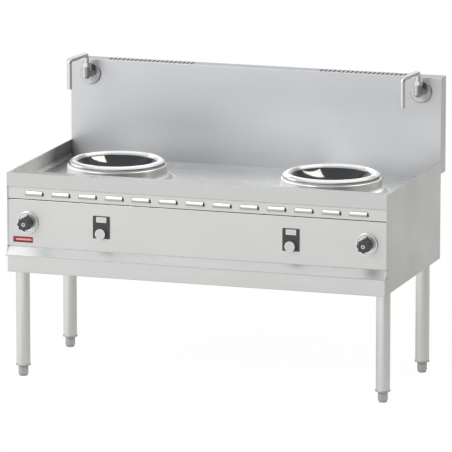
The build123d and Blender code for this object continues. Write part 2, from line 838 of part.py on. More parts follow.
with BuildPart() as leg_sockets:
    with BuildSketch(Plane.XY.offset(leg_top)):
        with Locations(*leg_points):
            Rectangle(socket_plate_width, socket_plate_length)
    extrude(amount=socket_plate)
    with BuildSketch(Plane.XY.offset(leg_top)):
        with Locations(*leg_points):
            Circle(leg_radius - leg_wall - socket_fit)
    extrude(amount=-socket_depth)
leg_sockets.part.label = "leg_sockets"
export_step(leg_sockets.part, "parts/leg_sockets.step")

# ---------------------------------------------------------------- power controls
plate_face = panel_face - plate_thickness
with BuildPart() as control_plates:
    with BuildSketch(facing_front(panel_face)):
        with Locations((0, plate_z)):
            with GridLocations(power_spacing, 0, 2, 1):
                RectangleRounded(plate_width, plate_height, plate_corner)
        with Locations((0, display_z)):
            with GridLocations(power_spacing, 0, 2, 1):
                Rectangle(display_width + 2 * display_fit, display_height + 2 * display_fit,
                          mode=Mode.SUBTRACT)
        with Locations((0, power_knob_z)):
            with GridLocations(power_spacing, 0, 2, 1):
                Circle(power_shaft_radius + spindle_hole_gap, mode=Mode.SUBTRACT)
    extrude(amount=plate_thickness)
control_plates.part.label = "control_plates"
export_step(control_plates.part, "parts/control_plates.step")

with BuildPart() as displays:
    with BuildSketch(facing_front(panel_face)):
        with Locations((0, display_z)):
            with GridLocations(power_spacing, 0, 2, 1):
                Rectangle(display_width, display_height)
    extrude(amount=display_thickness)
displays.part.label = "displays"
export_step(displays.part, "parts/displays.step")

with BuildPart() as encoders:
    with BuildSketch(facing_front(panel_back + encoder_depth)):
        with Locations((0, power_knob_z)):
            with GridLocations(power_spacing, 0, 2, 1):
                Rectangle(encoder_side, encoder_side)
    extrude(amount=encoder_depth)
    with BuildSketch(facing_front(panel_back)):
        with Locations((0, power_knob_z)):
            with GridLocations(power_spacing, 0, 2, 1):
                Circle(power_shaft_radius + shaft_fit)
    extrude(amount=-shaft_depth, mode=Mode.SUBTRACT)
encoders.part.label = "encoders"
export_step(encoders.part, "parts/encoders.step")

knob_foot = plate_face - power_knob_gap
for side, sign in sides:
    with BuildPart() as power_knob:
        with BuildSketch(facing_front(knob_foot)):
            with Locations((sign * power_spacing / 2, power_knob_z)):
                Circle(power_knob_radius)
        extrude(amount=power_knob_depth)
        knob_rim = power_knob.edges().filter_by(GeomType.CIRCLE).sort_by(Axis.Y)[0]
        fillet(knob_rim, radius=power_knob_edge)
        with BuildSketch(facing_front(knob_foot)):
            with Locations((sign * power_spacing / 2, power_knob_z)):
                Circle(power_shaft_radius)
        extrude(amount=-(panel_back + shaft_depth - shaft_fit - knob_foot))
    power_knob.part.label = f"{side}_power_knob"
    export_step(power_knob.part, f"parts/{side}_power_knob.step")

with BuildPart() as nameplate:
    with BuildSketch(facing_front(panel_face)):
        with Locations((nameplate_x, panel_bottom + nameplate_rise)):
            RectangleRounded(nameplate_width, nameplate_height, plate_corner)
    extrude(amount=nameplate_thickness)
nameplate.part.label = "nameplate"
export_step(nameplate.part, "parts/nameplate.step")

# ---------------------------------------------------------------- tap controls
bezel_face = panel_face - bezel_depth
with BuildPart() as tap_bezels:
    for side, sign in sides:
        bezel_plane = Plane(origin=(sign * tap_x, 0, tap_knob_z), x_dir=(1, 0, 0), z_dir=(0, 0, 1))
        with BuildSketch(bezel_plane):
            Polygon((tap_spindle_radius + spindle_hole_gap, panel_face), (bezel_radius, panel_face),
                    (bezel_radius - bezel_dish, bezel_face),
                    (bezel_radius - bezel_dish - bezel_rim, bezel_face),
                    (bezel_radius - 2 * bezel_dish - bezel_rim, bezel_face + bezel_dish),
                    (tap_spindle_radius + spindle_hole_gap, bezel_face + bezel_dish), align=None)
        revolve(axis=Axis((sign * tap_x, 0, tap_knob_z), (0, 1, 0)))
tap_bezels.part.label = "tap_bezels"
export_step(tap_bezels.part, "parts/tap_bezels.step")

tap_knob_face = panel_face - tap_knob_reach
tap_knob_back = tap_knob_face + tap_knob_thickness
neck_end = bezel_face + bezel_dish - tap_neck_gap
for side, sign in sides:
    with BuildPart() as tap_knob:
        with BuildSketch(facing_front(tap_knob_back)):
            with Locations((sign * tap_x, tap_knob_z)):
                Circle(tap_knob_radius - tap_lobe_depth)
                with PolarLocations(tap_knob_radius - tap_lobe_radius, tap_lobe_count):
                    Circle(tap_lobe_radius)
        extrude(amount=tap_knob_thickness - tap_cap_height)
        rim = tap_knob.edges().group_by(Axis.Y)[0]
        fillet(rim, radius=tap_knob_edge)
        with BuildSketch(facing_front(tap_knob_face + tap_cap_height)):
            with Locations((sign * tap_x, tap_knob_z)):
                Circle(tap_cap_radius)
        extrude(amount=tap_cap_height)
        with BuildSketch(facing_front(neck_end)):
            with Locations((sign * tap_x, tap_knob_z)):
                Circle(tap_neck_radius)
        extrude(amount=neck_end - tap_knob_back)
        with BuildSketch(facing_front(panel_back + tap_spindle_depth - shaft_fit)):
            with Locations((sign * tap_x, tap_knob_z)):
                Circle(tap_spindle_radius)
        extrude(amount=panel_back + tap_spindle_depth - shaft_fit - neck_end)
    tap_knob.part.label = f"{side}_tap_knob"
    export_step(tap_knob.part, f"parts/{side}_tap_knob.step")

valve_inlet_y = panel_back + valve_inlet_setback
valve_rear = panel_back + valve_length
with BuildPart() as tap_valves:
    with BuildSketch(facing_front(valve_rear)):
        with Locations((0, tap_knob_z)):
            with GridLocations(tap_spacing, 0, 2, 1):
                Circle(valve_radius)
    extrude(amount=valve_length)
    with BuildSketch(Plane.XY.offset(tap_knob_z - valve_inlet_drop)):
        with Locations((-tap_x, valve_inlet_y), (tap_x, valve_inlet_y)):
            Circle(valve_inlet_radius)
    extrude(amount=valve_inlet_drop)
    with BuildSketch(facing_front(panel_back)):
        with Locations((0, tap_knob_z)):
            with GridLocations(tap_spacing, 0, 2, 1):
                Circle(tap_spindle_radius + shaft_fit)
    extrude(amount=-tap_spindle_depth, mode=Mode.SUBTRACT)
tap_valves.part.label = "tap_valves"
export_step(tap_valves.part, "parts/tap_valves.step")

# ---------------------------------------------------------------- pipes and inlets
riser_end = cabinet_rear + body_sheet + riser_end_gap
riser_turn = rear_sheet_face - riser_turn_gap
for node, start, corners in (
        ("supply_pipes", (rear_sheet_face, supply_z),
         ((valve_inlet_y, supply_z), (valve_inlet_y, tap_knob_z - valve_inlet_drop))),
        ("riser_pipes", (valve_rear, tap_knob_z),
         ((riser_turn, tap_knob_z), (riser_turn, riser_exit_z), (riser_y, riser_exit_z),
          (riser_y, tap_z), (riser_end, tap_z)))):
    with BuildPart() as pipes:
        for side, sign in sides:
            with BuildLine(across(sign * tap_x)) as route:
                FilletPolyline(start, *corners, radius=pipe_bend)
            with BuildSketch(facing_front(start[0])):
                with Locations((sign * tap_x, start[1])):
                    Circle(pipe_radius)
                    Circle(pipe_radius - pipe_wall, mode=Mode.SUBTRACT)
            sweep(path=route.wire())
    pipes.part.label = node
    export_step(pipes.part, f"parts/{node}.step")

with BuildPart() as inlet_unions:
    with BuildSketch(facing_front(cabinet_rear + union_hex_depth)):
        with Locations((-tap_x, supply_z), (tap_x, supply_z)):
            RegularPolygon(union_hex / 2, 6, major_radius=False)
    extrude(amount=union_hex_depth)
    with BuildSketch(facing_front(cabinet_rear + union_hex_depth + union_thread_length)):
        with Locations((-tap_x, supply_z), (tap_x, supply_z)):
            Circle(union_thread_radius)
    extrude(amount=union_thread_length + union_hex_depth + body_sheet)
    with BuildSketch(facing_front(cabinet_rear + union_hex_depth + union_thread_length)):
        with Locations((-tap_x, supply_z), (tap_x, supply_z)):
            Circle(pipe_radius - pipe_wall)
    extrude(amount=union_thread_length + union_hex_depth + body_sheet, mode=Mode.SUBTRACT)
inlet_unions.part.label = "inlet_unions"
export_step(inlet_unions.part, "parts/inlet_unions.step")

# ---------------------------------------------------------------- wall taps
with BuildPart() as tap_flanges:
    with BuildSketch(facing_front(cabinet_rear)):
        with Locations((-tap_x, tap_z), (tap_x, tap_z)):
            Circle(flange_radius)
    extrude(amount=flange_thickness)
    rims = tap_flanges.edges().filter_by(GeomType.CIRCLE).group_by(Axis.Y)[0]
    fillet(rims, radius=flange_edge)
    with BuildSketch(facing_front(cabinet_rear)):
        with Locations((-tap_x, tap_z), (tap_x, tap_z)):
            Circle(tap_stem_radius + tap_stem_fit)
    extrude(amount=flange_thickness, mode=Mode.SUBTRACT)
tap_flanges.part.label = "tap_flanges"
export_step(tap_flanges.part, "parts/tap_flanges.step")

flange_face = cabinet_rear - flange_thickness
with BuildPart() as flange_screws:
    with BuildSketch(facing_front(flange_face)):
        with Locations((-tap_x, tap_z), (tap_x, tap_z)):
            with PolarLocations(flange_screw_circle, 4, start_angle=0):
                Circle(flange_screw_radius)
    extrude(amount=flange_screw_head)
    heads = flange_screws.edges().filter_by(GeomType.CIRCLE).group_by(Axis.Y)[0]
    fillet(heads, radius=flange_screw_head * 0.6)
flange_screws.part.label = "flange_screws"
export_step(flange_screws.part, "parts/flange_screws.step")

spout_foot = tap_body_top - tap_socket_depth
nut_top = tap_nut_bottom + tap_nut_height
with BuildPart() as tap_bodies:
    with BuildSketch(Plane.XY.offset(tap_z - tap_body_drop)):
        with Locations((-tap_x, tap_y), (tap_x, tap_y)):
            Circle(tap_body_radius)
    extrude(amount=tap_body_drop + tap_body_rise)
    foot_rims = tap_bodies.edges().filter_by(GeomType.CIRCLE).group_by(Axis.Z)[0]
    fillet(foot_rims, radius=tap_body_edge)
    with BuildSketch(facing_front(riser_end)):
        with Locations((-tap_x, tap_z), (tap_x, tap_z)):
            Circle(tap_stem_radius)
    extrude(amount=riser_end - tap_y)
    with BuildSketch(facing_front(flange_face)):
        with Locations((-tap_x, tap_z), (tap_x, tap_z)):
            Circle(tap_branch_radius)
    extrude(amount=flange_face - tap_y)
    with BuildSketch(facing_front(flange_face)):
        with Locations((-tap_x, tap_z), (tap_x, tap_z)):
            RegularPolygon(tap_union_hex / 2, 6, major_radius=False)
    extrude(amount=tap_union_depth)
    with BuildSketch(Plane.XY.offset(tap_body_top)):
        with Locations((-tap_x, tap_y), (tap_x, tap_y)):
            Circle(spout_radius + spout_fit)
    extrude(amount=-tap_socket_depth, mode=Mode.SUBTRACT)
    with BuildSketch(Plane.XY.offset(tap_body_top)):
        with Locations((-tap_x, tap_y), (tap_x, tap_y)):
            Circle(spout_bead_radius + spout_fit)
    extrude(amount=-spout_bead_height - spout_fit, mode=Mode.SUBTRACT)
tap_bodies.part.label = "tap_bodies"
export_step(tap_bodies.part, "parts/tap_bodies.step")

with BuildPart() as spout_nuts:
    with BuildSketch(Plane.XY.offset(tap_nut_bottom)):
        with Locations((-tap_x, tap_y), (tap_x, tap_y)):
            RegularPolygon(tap_nut_hex / 2, 6, major_radius=False)
    extrude(amount=tap_nut_height)
    with BuildSketch(Plane.XY.offset(tap_nut_bottom)):
        with Locations((-tap_x, tap_y), (tap_x, tap_y)):
            Circle(tap_body_radius + weld_gap)
    extrude(amount=tap_nut_overlap, mode=Mode.SUBTRACT)
    with BuildSketch(Plane.XY.offset(nut_top)):
        with Locations((-tap_x, tap_y), (tap_x, tap_y)):
            Circle(spout_radius + spout_fit)
    extrude(amount=-tap_nut_height, mode=Mode.SUBTRACT)
spout_nuts.part.label = "spout_nuts"
export_step(spout_nuts.part, "parts/spout_nuts.step")

turn = radians(spout_turn)
for side, sign in sides:
    arm_plane = Plane(origin=(sign * tap_x, tap_y, 0), x_dir=(-sin(turn), -cos(turn), 0),
                      z_dir=(-cos(turn), sin(turn), 0))
    arm_z = tap_z + spout_arm_rise
    with BuildPart() as spout:
        with BuildLine(arm_plane) as route:
            FilletPolyline((0, spout_foot), (0, arm_z), (spout_reach, arm_z),
                           (spout_reach, tap_z - spout_outlet_drop), radius=spout_bend)
        with BuildSketch(Plane.XY.offset(spout_foot)):
            with Locations((sign * tap_x, tap_y)):
                Circle(spout_radius)
                Circle(spout_radius - spout_wall, mode=Mode.SUBTRACT)
        sweep(path=route.wire())
        with BuildSketch(Plane.XY.offset(tap_body_top - spout_bead_height)):
            with Locations((sign * tap_x, tap_y)):
                Circle(spout_bead_radius)
                Circle(spout_radius - spout_wall / 2, mode=Mode.SUBTRACT)
        extrude(amount=spout_bead_height - spout_fit)
    spout.part.label = f"{side}_spout"
    export_step(spout.part, f"parts/{side}_spout.step")

# ---------------------------------------------------------------- induction electrics
generator_middle = (generator_front + generator_rear) / 2
with BuildPart() as generators:
    with BuildSketch(Plane.XY.offset(beam_top)):
        with Locations((-wok_centre, generator_middle), (wok_centre, generator_middle)):
            Rectangle(generator_width, generator_depth)
    extrude(amount=generator_height)
    with BuildSketch(Plane.XY.offset(beam_top + generator_sheet)):
        with Locations((-wok_centre, generator_middle), (wok_centre, generator_middle)):
            Rectangle(generator_width - 2 * generator_sheet, generator_depth - 2 * generator_sheet)
    extrude(amount=generator_height - 2 * generator_sheet, mode=Mode.SUBTRACT)
    with BuildSketch(facing_front(generator_rear)):
        with Locations((-wok_centre, fan_z), (wok_centre, fan_z)):
            Circle(fan_bore_radius)
    extrude(amount=generator_sheet, mode=Mode.SUBTRACT)
    with BuildSketch(facing_front(generator_front + generator_sheet)):
        with Locations((-wok_centre, fan_z), (wok_centre, fan_z)):
            with GridLocations(0, generator_slot_pitch, 1, generator_slot_count):
                SlotOverall(generator_slot_length, generator_slot_width)
    extrude(amount=generator_sheet, mode=Mode.SUBTRACT)
generators.part.label = "generators"
export_step(generators.part, "parts/generators.step")

sink_floor = beam_top + generator_sheet
with BuildPart() as heat_sinks:
    with BuildSketch(Plane.XY.offset(sink_floor)):
        with Locations((-wok_centre, generator_middle), (wok_centre, generator_middle)):
            Rectangle(heat_sink_width, heat_sink_length)
    extrude(amount=heat_sink_base)
    with BuildSketch(Plane.XY.offset(sink_floor + heat_sink_base)):
        with Locations((-wok_centre, generator_middle), (wok_centre, generator_middle)):
            with GridLocations((heat_sink_width - fin_thickness) / (fin_count - 1), 0, fin_count, 1):
                Rectangle(fin_thickness, heat_sink_length)
    extrude(amount=fin_height)
heat_sinks.part.label = "heat_sinks"
export_step(heat_sinks.part, "parts/heat_sinks.step")

housing_rear = generator_rear + fan_depth
strut_face = housing_rear - fan_strut_depth
with BuildPart() as fan_housings:
    with BuildSketch(facing_front(housing_rear)):
        with Locations((-wok_centre, fan_z), (wok_centre, fan_z)):
            Rectangle(fan_side, fan_side)
            Circle(fan_bore_radius, mode=Mode.SUBTRACT)
    extrude(amount=fan_depth)
    with BuildSketch(facing_front(housing_rear)):
        with Locations((-wok_centre, fan_z), (wok_centre, fan_z)):
            Circle(fan_hub_radius)
            Rectangle(2 * fan_bore_radius + fan_strut_width / 2, fan_strut_width)
            Rectangle(fan_strut_width, 2 * fan_bore_radius + fan_strut_width / 2)
    extrude(amount=fan_strut_depth)
    with BuildSketch(facing_front(strut_face)):
        with Locations((-wok_centre, fan_z), (wok_centre, fan_z)):
            Circle(fan_pin_radius)
    extrude(amount=fan_pin_length)
fan_housings.part.label = "fan_housings"
export_step(fan_housings.part, "parts/fan_housings.step")

rotor_rear = strut_face - fan_rotor_gap
rotor_middle = rotor_rear - fan_rotor_length / 2
pitch = radians(fan_blade_pitch)
for side, sign in sides:
    fan_x = sign * wok_centre
    with BuildPart() as fan_rotor:
        with BuildSketch(facing_front(rotor_rear)):
            with Locations((fan_x, fan_z)):
                Circle(fan_hub_radius)
        extrude(amount=fan_rotor_length)
        for i in range(fan_blade_count):
            angle = radians(360 * i / fan_blade_count)
            outward = Vector(cos(angle), 0, sin(angle))
            around = Vector(-sin(angle), 0, cos(angle))
            chord_direction = Vector(0, 1, 0) * cos(pitch) + around * sin(pitch)
            blade_foot = Vector(fan_x, rotor_middle, fan_z) + outward * (fan_hub_radius / 2)
            with BuildSketch(Plane(origin=blade_foot, x_dir=chord_direction, z_dir=outward)):
                Rectangle(fan_blade_chord, fan_blade_thickness)
            extrude(amount=fan_tip_radius - fan_hub_radius / 2)
        with BuildSketch(facing_front(rotor_rear)):
            with Locations((fan_x, fan_z)):
                Circle(fan_pin_radius + shaft_fit)
        extrude(amount=fan_pin_length, mode=Mode.SUBTRACT)
    fan_rotor.part.label = f"{side}_fan_rotor"
    export_step(fan_rotor.part, f"parts/{side}_fan_rotor.step")

with BuildPart() as terminal_box:
    with BuildSketch(facing_front(rear_sheet_face)):
        with Locations((0, terminal_z)):
            Rectangle(terminal_width, terminal_height)
    extrude(amount=terminal_depth)
    with BuildSketch(facing_front(rear_sheet_face)):
        with Locations((0, terminal_z)):
            Rectangle(terminal_width - 2 * beam_wall, terminal_height - 2 * beam_wall)
    extrude(amount=terminal_depth - beam_wall, mode=Mode.SUBTRACT)
terminal_box.part.label = "terminal_box"
export_step(terminal_box.part, "parts/terminal_box.step")

with BuildPart() as cable_gland:
    with BuildSketch(facing_front(cabinet_rear + gland_flange)):
        with Locations((0, terminal_z)):
            Circle(gland_flange_radius)
    extrude(amount=gland_flange)
    with BuildSketch(facing_front(cabinet_rear + gland_length)):
        with Locations((0, terminal_z)):
            RegularPolygon(gland_hex / 2, 6, major_radius=False)
    extrude(amount=gland_length - gland_flange)
    with BuildSketch(facing_front(cabinet_rear)):
        with Locations((0, terminal_z)):
            Circle(gland_barrel_radius)
    extrude(amount=body_sheet)
    with BuildSketch(facing_front(rear_sheet_face)):
        with Locations((0, terminal_z)):
            Circle(gland_flange_radius)
    extrude(amount=gland_locknut)
    with BuildSketch(facing_front(cabinet_rear + gland_length)):
        with Locations((0, terminal_z)):
            Circle(gland_bore_radius)
    extrude(amount=gland_length + body_sheet + gland_locknut, mode=Mode.SUBTRACT)
cable_gland.part.label = "cable_gland"
export_step(cable_gland.part, "parts/cable_gland.step")

# ---------------------------------------------------------------- rear screws
cover_pitch_x = (worktop_width - 4 * screw_edge_inset) / (cover_screw_columns - 1)
cover_pitch_z = splash_top - splash_bottom - 4 * screw_edge_inset
panel_pitch_x = (2 * inner_half - 4 * screw_edge_inset) / (cover_screw_columns - 1)
with BuildPart() as rear_screws:
    with BuildSketch(facing_front(splash_rear)):
        with Locations((0, (splash_bottom + splash_top) / 2)):
            with GridLocations(cover_pitch_x, cover_pitch_z, cover_screw_columns, 2):
                Circle(screw_head_radius)
    extrude(amount=-screw_head_height)
    with BuildSketch(facing_front(cabinet_rear)):
        with Locations((0, body_bottom + 2 * screw_edge_inset)):
            with GridLocations(panel_pitch_x, 0, cover_screw_columns, 1):
                Circle(screw_head_radius)
    extrude(amount=-screw_head_height)
rear_screws.part.label = "rear_screws"
export_step(rear_screws.part, "parts/rear_screws.step")
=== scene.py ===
import json
from math import cos, pi, radians, sin

import bmesh
import bpy
from mathutils import Matrix, Vector

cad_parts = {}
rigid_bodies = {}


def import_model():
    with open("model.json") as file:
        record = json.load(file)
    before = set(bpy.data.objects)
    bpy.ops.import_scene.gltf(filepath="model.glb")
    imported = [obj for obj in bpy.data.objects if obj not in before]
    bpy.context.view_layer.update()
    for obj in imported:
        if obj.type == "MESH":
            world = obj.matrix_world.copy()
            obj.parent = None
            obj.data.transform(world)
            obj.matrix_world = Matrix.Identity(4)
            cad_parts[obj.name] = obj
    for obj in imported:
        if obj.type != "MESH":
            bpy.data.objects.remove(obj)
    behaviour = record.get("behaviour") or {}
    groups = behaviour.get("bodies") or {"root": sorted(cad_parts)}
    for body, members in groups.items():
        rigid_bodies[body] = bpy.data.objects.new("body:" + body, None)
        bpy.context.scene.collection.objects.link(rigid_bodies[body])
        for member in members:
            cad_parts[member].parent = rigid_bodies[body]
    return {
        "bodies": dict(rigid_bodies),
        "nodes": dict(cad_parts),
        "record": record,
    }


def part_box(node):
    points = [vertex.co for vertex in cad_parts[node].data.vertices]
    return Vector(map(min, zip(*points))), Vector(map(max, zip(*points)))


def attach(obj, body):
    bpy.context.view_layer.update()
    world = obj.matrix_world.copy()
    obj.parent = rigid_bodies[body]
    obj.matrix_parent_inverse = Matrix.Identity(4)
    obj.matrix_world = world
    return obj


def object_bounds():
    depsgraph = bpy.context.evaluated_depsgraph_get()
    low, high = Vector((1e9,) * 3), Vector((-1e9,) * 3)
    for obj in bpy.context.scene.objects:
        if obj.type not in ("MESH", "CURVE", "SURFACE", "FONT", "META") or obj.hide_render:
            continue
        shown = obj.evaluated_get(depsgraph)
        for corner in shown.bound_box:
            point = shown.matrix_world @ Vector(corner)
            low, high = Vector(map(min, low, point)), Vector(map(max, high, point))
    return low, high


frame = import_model()

# Wok range in brushed stainless steel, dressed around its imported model. Metres, row frame:
# X along the front to the right, Y from the cook to the wall, Z up from the floor.

kept = set(frame["nodes"].values()) | set(frame["bodies"].values())
for stray in [o for o in bpy.data.objects if o not in kept]:
    bpy.data.objects.remove(stray)
cad_low, cad_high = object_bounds()

WOK_X, WOK_Y = 0.4575, -0.0325
# The sign of x on the left and on the right.
SIDES = (-1, 1)
# Shares of open sky that count as deep in a corner and as in the open.
CORNER_SKY = (0.18, 0.5)


# ---------------------------------------------------------------- material graphs
class Graph:
    """The node tree of a material, lamp or world, with short calls for the nodes that are used here."""

    def __init__(self, name, owner=None):
        self.material = owner or bpy.data.materials.new(name)
        self.material.use_nodes = True
        self.tree = self.material.node_tree
        self.shader = self.tree.nodes.get("Principled BSDF")
        self.place = self.add("ShaderNodeTexCoord").outputs["Object"]

    def add(self, kind, **settings):
        node = self.tree.nodes.new(kind)
        for key, value in settings.items():
            setattr(node, key, value)
        return node

    def link(self, out, into):
        self.tree.links.new(out, into)

    def put(self, value, socket):
        """A node's output, a number or a colour into a socket."""
        if hasattr(value, "default_value"):
            self.link(value, socket)
        else:
            socket.default_value = (*value, 1.0) if isinstance(value, tuple) else value

    def set(self, **values):
        """Values that are the same all over, on the shader's own sockets."""
        for key, value in values.items():
            self.shader.inputs[key.replace("_", " ")].default_value = value

    def feed(self, **outs):
        """Nodes' outputs into the shader's sockets."""
        for key, out in outs.items():
            self.link(out, self.shader.inputs[key.replace("_", " ")])

    def stretched(self, scale):
        """Object coordinates, scaled differently along each axis."""
        mapping = self.add("ShaderNodeMapping")
        mapping.inputs["Scale"].default_value = scale
        self.link(self.place, mapping.inputs["Vector"])
        return mapping.outputs["Vector"]

    def split(self, vector):
        node = self.add("ShaderNodeSeparateXYZ")
        self.link(vector, node.inputs["Vector"])
        return node.outputs["X"], node.outputs["Y"], node.outputs["Z"]

    def noise(self, vector, scale=1.0, detail=3.0, rough=0.5):
        node = self.add("ShaderNodeTexNoise")
        for name, value in (("Scale", scale), ("Detail", detail), ("Roughness", rough), ("Vector", vector)):
            self.put(value, node.inputs[name])
        return node.outputs["Fac"]

    def ranged(self, value, start, end, low, high, **settings):
        node = self.add("ShaderNodeMapRange", **settings)
        for name, number in (("From Min", start), ("From Max", end), ("To Min", low), ("To Max", high)):
            node.inputs[name].default_value = number
        self.link(value, node.inputs["Value"])
        return node.outputs["Result"]

    def remap(self, value, low, high, start=0.3, end=0.7):
        """A noise's middle range, from start to end, spread evenly from low to high."""
        return self.ranged(value, start, end, low, high, clamp=True)

    def smooth(self, value, start, end, low=0.0, high=1.0):
        """Smooth step of a value between start and end."""
        return self.ranged(value, start, end, low, high, interpolation_type="SMOOTHSTEP")

    def between(self, value, low, high, soft):
        """1 between low and high, 0 outside, with soft edges."""
        return self.math("MULTIPLY", self.smooth(value, low - soft, low + soft),
                         self.smooth(value, high + soft, high - soft))

    def math(self, operation, first, *others):
        """An operation on one value, on two, or on the result and each further value in turn."""
        for other in others or (0.0,):
            node = self.add("ShaderNodeMath", operation=operation)
            self.put(first, node.inputs[0])
            self.put(other, node.inputs[1])
            first = node.outputs["Value"]
        return first

    def length(self, a, b):
        """Length of the flat vector (a, b)."""
        squares = self.math("ADD", self.math("MULTIPLY", a, a), self.math("MULTIPLY", b, b))
        return self.math("SQRT", squares)

    def from_pair(self, x, at):
        """x from the near one of two places, at x = at and x = -at."""
        return self.math("SUBTRACT", x, self.math("MULTIPLY", self.math("SIGN", x), at))

    def mix(self, share, a, b):
        """Colour a where share is 0, colour b where it is 1. Each is a colour or a socket."""
        node = self.add("ShaderNodeMix", data_type="RGBA")
        self.put(share, node.inputs["Factor"])
        self.put(a, node.inputs[6])
        self.put(b, node.inputs[7])
        return node.outputs[2]

    def over(self, colour, *layers):
        """A colour with tones laid over it one by one, each by its share."""
        for share, tone in layers:
            colour = self.mix(share, colour, tone)
        return colour

    def corners(self, reach):
        """Near 0 deep in corners and gaps up to reach wide, 1 on open surfaces."""
        node = self.add("ShaderNodeAmbientOcclusion", samples=8)
        node.inputs["Distance"].default_value = reach
        return self.smooth(node.outputs["AO"], *CORNER_SKY)

    def bump(self, height, strength, distance):
        node = self.add("ShaderNodeBump")
        node.inputs["Strength"].default_value = strength
        node.inputs["Distance"].default_value = distance
        self.link(height, node.inputs["Height"])
        self.feed(Normal=node.outputs["Normal"])


def shade(colour, factor):
    return tuple(min(1.0, c * factor) for c in colour)


# Steel's Metallic value, and how much of it is taken away where light is painted on.
STEEL_METALLIC = 0.9
PAINTED_LIGHT_METALLIC_CUT = 0.5

# Grain of brushed sheet: long along one axis, fine across the others.
GRAIN_X = (3.0, 420.0, 420.0)
GRAIN_Y = (420.0, 3.0, 420.0)
GRAIN_Z = (420.0, 420.0, 3.0)
FINE_GRAIN = 0.25


def brushed(name, colour, rough, grain, streak=0.05, smudge=0.06, bump=0.08, reach=0.2, edge=0.9,
            painted_light=None):
    """Stainless sheet: fine brushing lines, soft cloudy wiping marks and a slight unevenness. Corners
    up to reach wide get painted shade. A function given for the place may paint light and shade into the
    colour, and choose which corners get painted shade."""
    g = Graph(name)
    lines = g.noise(g.stretched(grain), detail=4.0, rough=0.6)
    clouds = g.noise(g.place, scale=3.5, detail=4.0, rough=0.55)
    fine = g.noise(g.stretched(tuple(s * FINE_GRAIN for s in grain)), detail=2.0)
    level = g.math("ADD", g.remap(lines, -streak, streak), g.remap(clouds, -smudge / 3, smudge / 3),
                   g.remap(fine, -streak / 2, streak / 2), 0.5)
    clean = g.mix(level, shade(colour, 0.8), shade(colour, 1.2))
    # Painted shade: the colour goes dark in corners and gaps up to reach wide.
    open_share = g.corners(reach)
    g.set(Metallic=STEEL_METALLIC, Specular_Tint=(edge, edge, edge, 1.0))
    if painted_light:
        clean, open_share = painted_light(g, colour, level, clean, open_share)
    g.feed(Base_Color=g.mix(open_share, shade(colour, 0.12), clean),
           Roughness=g.math("ADD", g.remap(lines, -0.03, 0.03), g.remap(clouds, -smudge, smudge), rough))
    g.bump(lines, strength=bump, distance=0.0004)
    return g.material


# Where the worktop's painted light and shade set in: each pair goes from the place that has none to the
# place that has it all.
IN_FRONT_Y = (0.2, -0.1)
BEHIND_Y = (0.0, 0.28)
BESIDE_WOK_X, OFF_RIM_X, OFF_WALL_X = (-0.66, -0.72), (-0.792, -0.782), (-0.784, -0.770)
PAN_FLOOR_Z = (0.795, 0.788)
WALL_X, UNDER_RIM_Z, WALL_BEHIND_Y = (-0.784, -0.788), (0.858, 0.850), (0.04, 0.20)
RIM_TOP_X, OFF_RAIL_Y = (-0.785, -0.794), (-0.399, -0.390)
# How much Metallic the painted light on the left rim takes away.
RIM_METALLIC_CUT = 0.6


def worktop_painted_light(g, colour, level, clean, open_share):
    """Painted light and shade on the worktop: painted shade on the pan behind the woks, painted light on
    its floor beside the left one, painted shade on the left wall behind, and painted light on the left rim
    in front. Painted shade goes only into corners behind the woks."""
    x, y, z = g.split(g.place)
    in_front = g.smooth(y, *IN_FRONT_Y)
    beside_wok = g.math("MULTIPLY", g.smooth(x, *BESIDE_WOK_X), g.smooth(x, *OFF_RIM_X))
    pale_floor = g.math("MULTIPLY", beside_wok, g.smooth(z, *PAN_FLOOR_Z), g.smooth(x, *OFF_WALL_X))
    dark_wall = g.math("MULTIPLY", g.smooth(x, *WALL_X), g.smooth(z, *UNDER_RIM_Z),
                       g.smooth(y, *WALL_BEHIND_Y))
    # Painted light on the left rim and wall in front.
    painted_light_rim = g.math("MULTIPLY", in_front, g.smooth(x, *RIM_TOP_X), g.smooth(y, *OFF_RAIL_Y))
    behind = g.mix(level, shade(colour, 0.50), shade(colour, 0.77))
    # Painted shade behind the woks and on the left wall, painted light on the floor beside the left wok and
    # on the left rim.
    toned = g.over(clean, (g.smooth(y, *BEHIND_Y), behind), (pale_floor, (0.84, 0.84, 0.83)),
                  (dark_wall, shade(colour, 0.38)), (painted_light_rim, (1.0, 0.985, 0.95)))
    g.feed(Metallic=g.math("SUBTRACT", STEEL_METALLIC, g.math("MULTIPLY", painted_light_rim, RIM_METALLIC_CUT)))
    return toned, g.math("MAXIMUM", open_share, g.math("MAXIMUM", in_front, beside_wok))


# Noise scales of turned steel: across its rings, and along them.
TURNED_ACROSS, TURNED_ALONG = 500.0, 0.8


def spun(name, colour, rough):
    """Steel turned on a lathe round the upright axis of either wok: fine level rings."""
    g = Graph(name)
    x, y, z = g.split(g.place)
    off_x = g.math("SUBTRACT", g.math("ABSOLUTE", x), WOK_X)
    off_y = g.math("SUBTRACT", y, WOK_Y)
    turned = g.add("ShaderNodeCombineXYZ")
    g.link(g.math("MULTIPLY", g.length(off_x, off_y), TURNED_ACROSS), turned.inputs["X"])
    g.link(g.math("MULTIPLY", z, TURNED_ACROSS), turned.inputs["Y"])
    g.link(g.math("MULTIPLY", g.math("ARCTAN2", off_y, off_x), TURNED_ALONG), turned.inputs["Z"])
    lines = g.noise(turned.outputs["Vector"])
    clouds = g.noise(g.place, scale=6.0)
    level = g.math("ADD", g.remap(lines, -0.1, 0.1), g.remap(clouds, 0.3, 0.7))
    g.feed(Base_Color=g.mix(level, shade(colour, 0.9), shade(colour, 1.1)),
           Roughness=g.math("ADD", g.remap(lines, -0.03, 0.03), rough))
    g.bump(lines, strength=0.02, distance=0.0003)
    g.set(Metallic=STEEL_METALLIC)
    return g.material


